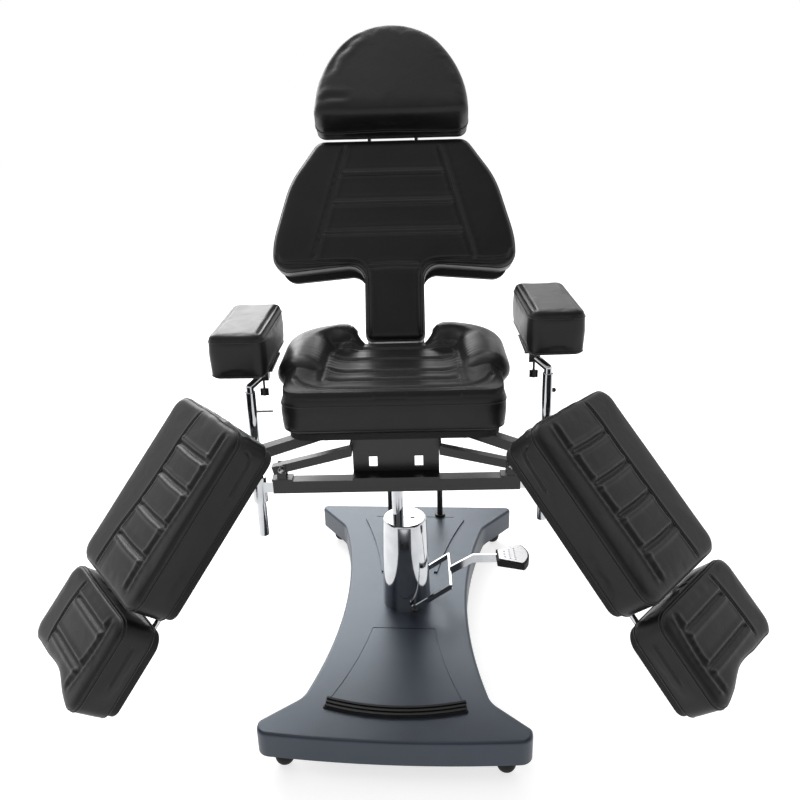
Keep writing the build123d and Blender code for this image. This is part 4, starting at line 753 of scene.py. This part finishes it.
for sign in (1, -1):
    inner = smoothLine([(sign * x, y) for x, y in ((144, -88), (141, 40), (137, 120), (118, 160), (88, 172))])
    stitched.append(onTop(tree, inner))
keepLines(threads, "seat", place, stitched)
keepLines(welts, "seat", place, [onRim(tree, seatLoop, 66), onRim(tree, seatLoop, 9)])
pad = finishPad("seatPad", mesh, place, "seat")
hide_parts("seat_cushion")
print("seat sewn")

# backrest: a T shape with wings, drawn flat and stood up at its lean
back = {
    "corners": ((75, 3, 15), (75, 200, 38), (307, 180, 42), (307, 262, 240), (262, 417, 240), (188, 521, 30)),
    "thickness": 74, "levels": ((0, 7), (0.08, 2), (0.3, 0), (0.6, 0), (0.82, 2), (0.94, 6), (1.0, 15)),
    "voxel": 0.0055, "cap": 0.0012, "channels": (281, 356, 432), "lean": 26, "footY": 0.233, "footZ": 0.690,
    "depth": 0.0757,
}
backCorners = [(x, y, r) for x, y, r in back["corners"]] + [(-x, y, r) for x, y, r in reversed(back["corners"])]
backLoop = roundedLoop(backCorners)
backPlace = Matrix.Translation((0, back["footY"], back["footZ"]))
backPlace = backPlace @ Matrix.Rotation(math.radians(-back["lean"]), 4, "X")
flatUp = backPlace @ Matrix.Translation((0, back["depth"], 0)) @ Matrix.Rotation(math.radians(90), 4, "X")
mesh = basePad("backPad", backLoop, back)
points, normals = readPoints(mesh), readNormals(mesh)
panelSides = {-1: smoothLine([(-116, 505), (-143, 410), (-172, 310), (-200, 214)]),
              1: smoothLine([(119, 500), (146, 405), (174, 305), (202, 208)])}


def panelHalfAt(s):
    return 202 + (117 - 202) * (s - 210) / (494 - 210)


for s in back["channels"]:
    half = panelHalfAt(s) - 2
    channel = {"path": [(-half, s), (0, s + 1), (half, s)], "width": 6.5, "depth": 4.6, "lip": 0.2}
    sink(points, normals[:, 2], channel)
for sign, path in panelSides.items():
    sink(points, normals[:, 2], {"path": path, "width": 5.5, "depth": 3.6, "lip": 0.3, "pucker": (21, 0.6, 12)})
wingSeam = smoothLine([(-296, 232), (-284, 209), (-240, 204), (-160, 207), (-98, 204), (-74, 190), (-66, 160),
                       (-65, 20)])
wingSeams = [wingSeam, wingSeam * (-1, 1)]
for path in wingSeams:
    sink(points, normals[:, 2], {"path": path, "width": 5, "depth": 3.2, "lip": 0.25, "taper": 4})
sink(points, normals[:, 2], {"path": [(-66, 192), (0, 196), (66, 192)], "width": 6, "depth": 4})
tree = reshape(mesh, points)
stitched = []
for s in back["channels"]:
    half = panelHalfAt(s) - 8
    stitched += [onTop(tree, [(-half, s + shift), (half, s + shift)]) for shift in (-4.5, 4.5)]
for sign, path in panelSides.items():
    stitched += [onTop(tree, path + (shift, 0)) for shift in (-2.4, 2.4)]
for path in wingSeams:
    stitched.append(onTop(tree, path + (0, 3.4)))
stitched += [onTop(tree, [(-62, y), (0, y + 4), (62, y)]) for y in (187, 197)]
keepLines(threads, "back", flatUp, stitched)
piped = [onRim(tree, backLoop, 58), onRim(tree, backLoop, 8)]
piped += [onTop(tree, path, weltLift) for path in wingSeams]
keepLines(welts, "back", flatUp, piped)
pad = finishPad("backPad", mesh, flatUp, "back")
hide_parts("back_cushion")
print("backrest sewn")

# headrest: a dome, flat along its lower edge, that hangs down to the back
head = {
    "half": 195, "base": 172, "hem": -6, "height": 283, "crown": 165, "thickness": 112, "front": 0.076,
    "low": 0.541, "tilt": 16,
    "levels": ((0, 9), (0.06, 4), (0.2, 1), (0.5, 0), (0.8, 2), (0.92, 7), (0.98, 14), (1.0, 26)),
    "voxel": 0.0055, "cap": 0.0016,
}


def arcThrough(a, b, c, count=14):
    # points of the circle arc through three points
    (ax, ay), (bx, by), (cx, cy) = a, b, c
    d = 2 * (ax * (by - cy) + bx * (cy - ay) + cx * (ay - by))
    ux = ((ax ** 2 + ay ** 2) * (by - cy) + (bx ** 2 + by ** 2) * (cy - ay) + (cx ** 2 + cy ** 2) * (ay - by)) / d
    uy = ((ax ** 2 + ay ** 2) * (cx - bx) + (bx ** 2 + by ** 2) * (ax - cx) + (cx ** 2 + cy ** 2) * (bx - ax)) / d
    radius = math.hypot(ax - ux, ay - uy)
    start = math.atan2(ay - uy, ax - ux)
    sweep = (math.atan2(cy - uy, cx - ux) - start) % (2 * math.pi)
    return [(ux + radius * math.cos(start + sweep * t), uy + radius * math.sin(start + sweep * t))
            for t in np.linspace(0, 1, count)]


def headLoop():
    # a wide arc up each side that runs into a tighter one over the top
    half, high, crown = head["half"], head["height"], head["crown"]
    belly, cheek = high * 0.1, 8
    rise = high - belly - crown
    wide = (half ** 2 + rise ** 2 - crown ** 2) / (2 * (half - crown))
    meet = math.atan2(rise, wide - half)
    right = arcThrough((head["base"], head["hem"]), (half - cheek, head["hem"] + cheek), (half, belly))
    right += [(half - wide + wide * math.cos(a), belly + wide * math.sin(a)) for a in np.linspace(0, meet, 30)]
    right += [(crown * math.cos(a), belly + rise + crown * math.sin(a))
              for a in np.linspace(meet, math.pi / 2, 30)]
    left = [(-x, y) for x, y in reversed(right)]
    return evenly(right + left[1:], 6, True)


headRing = headLoop()
mesh = basePad("headPad", headRing, head)
points, normals = readPoints(mesh), readNormals(mesh)
folds = {
    "high": smoothLine([(-120, 178), (-100, 214), (-62, 240)]),
    "low": smoothLine([(-150, 112), (-134, 168), (-98, 208)]),
    "left": smoothLine([(-176, 30), (-150, 44), (-96, 40)]),
}
for path in folds.values():
    sink(points, normals[:, 2], {"path": path, "width": 9, "depth": 2.4, "lip": 0.4, "taper": 24})
# the bottom wall sags between its seam and its front edge
sag = {"path": [(-150, 58), (0, 54), (150, 60)], "width": 15, "depth": 4, "lip": 0.3, "taper": 50, "sign": -1}
sink(points, -normals[:, 1], sag, (0, 2), 1)
tree = reshape(mesh, points)
headPlace = backPlace @ Matrix.Translation((0, 0, head["low"]))
headPlace = headPlace @ Matrix.Rotation(math.radians(-head["tilt"]), 4, "X")
headPlace = headPlace @ Matrix.Translation((0, head["thickness"] / 1000 + 0.0028 - head["front"], 0))
headPlace = headPlace @ Matrix.Rotation(math.radians(90), 4, "X")
keepLines(welts, "headrest", headPlace, [onRim(tree, headRing, height) for height in (37, 8)])
keepLines(threads, "headrest", headPlace, [onRim(tree, headRing, 43, threadLift)])
pad = finishPad("headPad", mesh, headPlace, "headrest")
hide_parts("headrest_cushion")
print("headrest sewn")

# armrests: boxy pads
arm = {
    "width": 119, "length": 259, "thickness": 96, "corner": 18, "turn": 1.5,
    "levels": ((0, 4), (0.05, 1), (0.2, 0), (0.5, -1), (0.84, 0), (0.94, 2), (0.985, 5), (1.0, 11)),
    "voxel": 0.005, "cap": 0.0012,
    "left": (-0.327, -0.092, 0.7204, -1), "right": (0.347, -0.068, 0.7504, 1),
}
armLoop = boxLoop(arm)
armBase = basePad("armPad", armLoop, arm)
for side in ("left", "right"):
    x, y, z, sign = arm[side]
    mesh = armBase.copy()
    points, normals = readPoints(mesh), readNormals(mesh)
    for line in ([(-48, -118), (-48, 118)], [(48, -118), (48, 118)]):
        sink(points, normals[:, 2], {"path": line, "width": 4, "depth": 2, "lip": 0.3})
    tree = reshape(mesh, points)
    place = Matrix.Translation((x, y, z)) @ Matrix.Rotation(math.radians(sign * arm["turn"]), 4, "Z")
    place = place @ Matrix.Translation((0, 0.131, 0))
    body = side + "_armrest"
    keepLines(threads, body, place, [onTop(tree, [(edge, -112), (edge, 112)]) for edge in (-46, 46)])
    keepLines(welts, body, place, [onRim(tree, armLoop, height) for height in (80, 6)])
    pad = finishPad(side + "ArmPad", mesh, place, body)
    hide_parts(side + "_arm_cushion")
print("armrests sewn")

# thread and piping: one Geometry Nodes tree each, run along the lines kept above
sewing = {"pitch": 0.0052, "stitchLength": 0.0038, "stitchRadius": 0.0005, "weltRadius": 0.0013, "weltStep": 0.005}


def startTree(name, sizes):
    tree = bpy.data.node_groups.new(name, "GeometryNodeTree")
    tree.interface.new_socket(name="Geometry", in_out="INPUT", socket_type="NodeSocketGeometry")
    for label, value in sizes.items():
        socket = tree.interface.new_socket(name=label, in_out="INPUT", socket_type="NodeSocketFloat")
        socket.default_value = value
    tree.interface.new_socket(name="Finish", in_out="INPUT", socket_type="NodeSocketMaterial")
    tree.interface.new_socket(name="Geometry", in_out="OUTPUT", socket_type="NodeSocketGeometry")
    entry = addNode(tree, "NodeGroupInput")
    return tree, entry.outputs


def endTree(tree, geometry, entry):
    real = addNode(tree, "GeometryNodeRealizeInstances", links={"Geometry": geometry})
    coloured = addNode(tree, "GeometryNodeSetMaterial",
                       links={"Geometry": real.outputs["Geometry"], "Material": entry["Finish"]})
    addNode(tree, "NodeGroupOutput", links={"Geometry": coloured.outputs["Geometry"]})
    return tree


def stitchTree():
    tree, entry = startTree("stitches", {"Pitch": sewing["pitch"], "Length": sewing["stitchLength"],
                                         "Radius": sewing["stitchRadius"]})
    curve = addNode(tree, "GeometryNodeMeshToCurve", links={"Mesh": entry["Geometry"]})
    spaced = addNode(tree, "GeometryNodeResampleCurve", {"mode": "LENGTH"},
                     links={"Curve": curve.outputs["Curve"], "Length": entry["Pitch"]})
    ball = addNode(tree, "GeometryNodeMeshUVSphere", inputs={"Segments": 6, "Rings": 4, "Radius": 1.0})
    halfLength = addNode(tree, "ShaderNodeMath", {"operation": "MULTIPLY"}, {1: 0.5}, {0: entry["Length"]})
    size = addNode(tree, "ShaderNodeCombineXYZ", links={"X": entry["Radius"], "Y": entry["Radius"],
                                                         "Z": halfLength.outputs["Value"]})
    tangent = addNode(tree, "GeometryNodeInputTangent")
    turned = addNode(tree, "FunctionNodeAlignRotationToVector", {"axis": "Z"},
                     links={"Vector": tangent.outputs["Tangent"]})
    placed = addNode(tree, "GeometryNodeInstanceOnPoints",
                     links={"Points": spaced.outputs["Curve"], "Instance": ball.outputs["Mesh"],
                            "Rotation": turned.outputs["Rotation"], "Scale": size.outputs["Vector"]})
    return endTree(tree, placed.outputs["Instances"], entry)


def weltTree():
    tree, entry = startTree("welts", {"Step": sewing["weltStep"], "Radius": sewing["weltRadius"]})
    curve = addNode(tree, "GeometryNodeMeshToCurve", links={"Mesh": entry["Geometry"]})
    spaced = addNode(tree, "GeometryNodeResampleCurve", {"mode": "LENGTH"},
                     links={"Curve": curve.outputs["Curve"], "Length": entry["Step"]})
    ring = addNode(tree, "GeometryNodeCurvePrimitiveCircle", inputs={"Resolution": 8},
                   links={"Radius": entry["Radius"]})
    tube = addNode(tree, "GeometryNodeCurveToMesh", inputs={"Fill Caps": True},
                   links={"Curve": spaced.outputs["Curve"], "Profile Curve": ring.outputs["Curve"]})
    smooth = addNode(tree, "GeometryNodeSetShadeSmooth", links={"Geometry": tube.outputs["Mesh"]})
    return endTree(tree, smooth.outputs["Geometry"], entry)


def sew(name, lines, tree, material, body):
    # the lines as loose edges, turned by the tree into a plain mesh
    edges = bmesh.new()
    for line in lines:
        made = [edges.verts.new(point) for point in line]
        for a, b in zip(made, made[1:]):
            edges.edges.new((a, b))
    mesh = bpy.data.meshes.new(name + "Lines")
    edges.to_mesh(mesh)
    edges.free()
    host = bpy.data.objects.new(name + "Lines", mesh)
    scene.collection.objects.link(host)
    modifier = host.modifiers.new("sewing", "NODES")
    modifier.node_group = tree
    for item in tree.interface.items_tree:
        if item.name == "Finish":
            modifier[item.identifier] = material
    result = evaluatedMesh(host)
    bpy.data.objects.remove(host)
    result.name = name
    result.materials.clear()
    result.materials.append(material)
    piece = bpy.data.objects.new(name, result)
    scene.collection.objects.link(piece)
    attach(piece, body)
    return piece


stitchNodes, weltNodes = stitchTree(), weltTree()
for body, lines in threads.items():
    sew("stitches_" + body, lines, stitchNodes, threadPaintedHighlight, body)
for body, lines in welts.items():
    sew("piping_" + body, lines, weltNodes, pipingPaintedHighlight, body)

# floor, sky and light
stage = {
    "floor": "cfcfcf", "floorGlow": 0.68, "floorSize": 24, "roughness": 0.85,
    "skyBehind": 1.0, "skyAbove": 0.34, "skyFront": 0.1, "skyRing": 1.0,
    "behindSpan": (-0.35, 0.45), "aboveSpan": (0.3, 0.95), "ringSpan": (0.3, 0.5),
    "lampPower": 138, "lampSize": 3.4, "lampAim": (0, 0, 0.4),
    "lamps": {"windowLamp": ((-1.0, 2.7, 2.3), 1.0), "overheadLamp": ((-0.9, -0.6, 3.2), 0.12)},
}
floorMaterial, tree, place = startMaterial("paleFloor")
shader = addNode(tree, "ShaderNodeBsdfPrincipled",
                 inputs={"Base Color": linear(stage["floor"]), "Roughness": stage["roughness"]})
# the camera, metal and glass see the floor nearly white; it lights the chair only as a pale floor does
rays = addNode(tree, "ShaderNodeLightPath")
seen = rays.outputs["Is Camera Ray"]
for kind in ("Is Glossy Ray", "Is Transmission Ray"):
    seen = addNode(tree, "ShaderNodeMath", {"operation": "MAXIMUM"},
                   links={0: seen, 1: rays.outputs[kind]}).outputs["Value"]
glow = addNode(tree, "ShaderNodeMath", {"operation": "MULTIPLY"}, {1: stage["floorGlow"]}, {0: seen})
light = addNode(tree, "ShaderNodeEmission", links={"Strength": glow.outputs["Value"]}).outputs["Emission"]
both = addNode(tree, "ShaderNodeAddShader", links={0: shader.outputs["BSDF"], 1: light}).outputs["Shader"]
addNode(tree, "ShaderNodeOutputMaterial", links={"Surface": both})
bpy.ops.mesh.primitive_plane_add(size=stage["floorSize"], location=(0, 0, 0))
floor = bpy.context.object
floor.name = "floor"
floor.data.materials.append(floorMaterial)
# the sky is white round the horizon, bright high up behind the chair like a window wall, and dim elsewhere
world = bpy.data.worlds.new("studio")
world.use_nodes = True
tree = world.node_tree
tree.nodes.clear()
direction = addNode(tree, "ShaderNodeTexCoord").outputs["Generated"]
parts = addNode(tree, "ShaderNodeSeparateXYZ", links={"Vector": direction})
depth = span(tree, parts.outputs["Y"], stage["skyFront"], stage["skyBehind"], *stage["behindSpan"])
height = span(tree, parts.outputs["Z"], stage["skyFront"], stage["skyAbove"], *stage["aboveSpan"])
ring = span(tree, parts.outputs["Z"], stage["skyRing"], stage["skyFront"], *stage["ringSpan"])
strength = depth
for other in (height, ring):
    strength = addNode(tree, "ShaderNodeMath", {"operation": "MAXIMUM"},
                       links={0: strength, 1: other}).outputs["Value"]
sky = addNode(tree, "ShaderNodeBackground", inputs={"Color": (1.0, 1.0, 1.0, 1.0)}, links={"Strength": strength})
addNode(tree, "ShaderNodeOutputWorld", links={"Surface": sky.outputs["Background"]})
scene.world = world
for name, (spot, share) in stage["lamps"].items():
    lampData = bpy.data.lights.new(name, "AREA")
    lampData.energy = stage["lampPower"] * share
    lampData.size = stage["lampSize"]
    lamp = bpy.data.objects.new(name, lampData)
    lamp.location = spot
    lamp.rotation_euler = (Vector(stage["lampAim"]) - Vector(spot)).to_track_quat("-Z", "Y").to_euler()
    scene.collection.objects.link(lamp)
scene.view_settings.view_transform = "Standard"
print("stage lit")
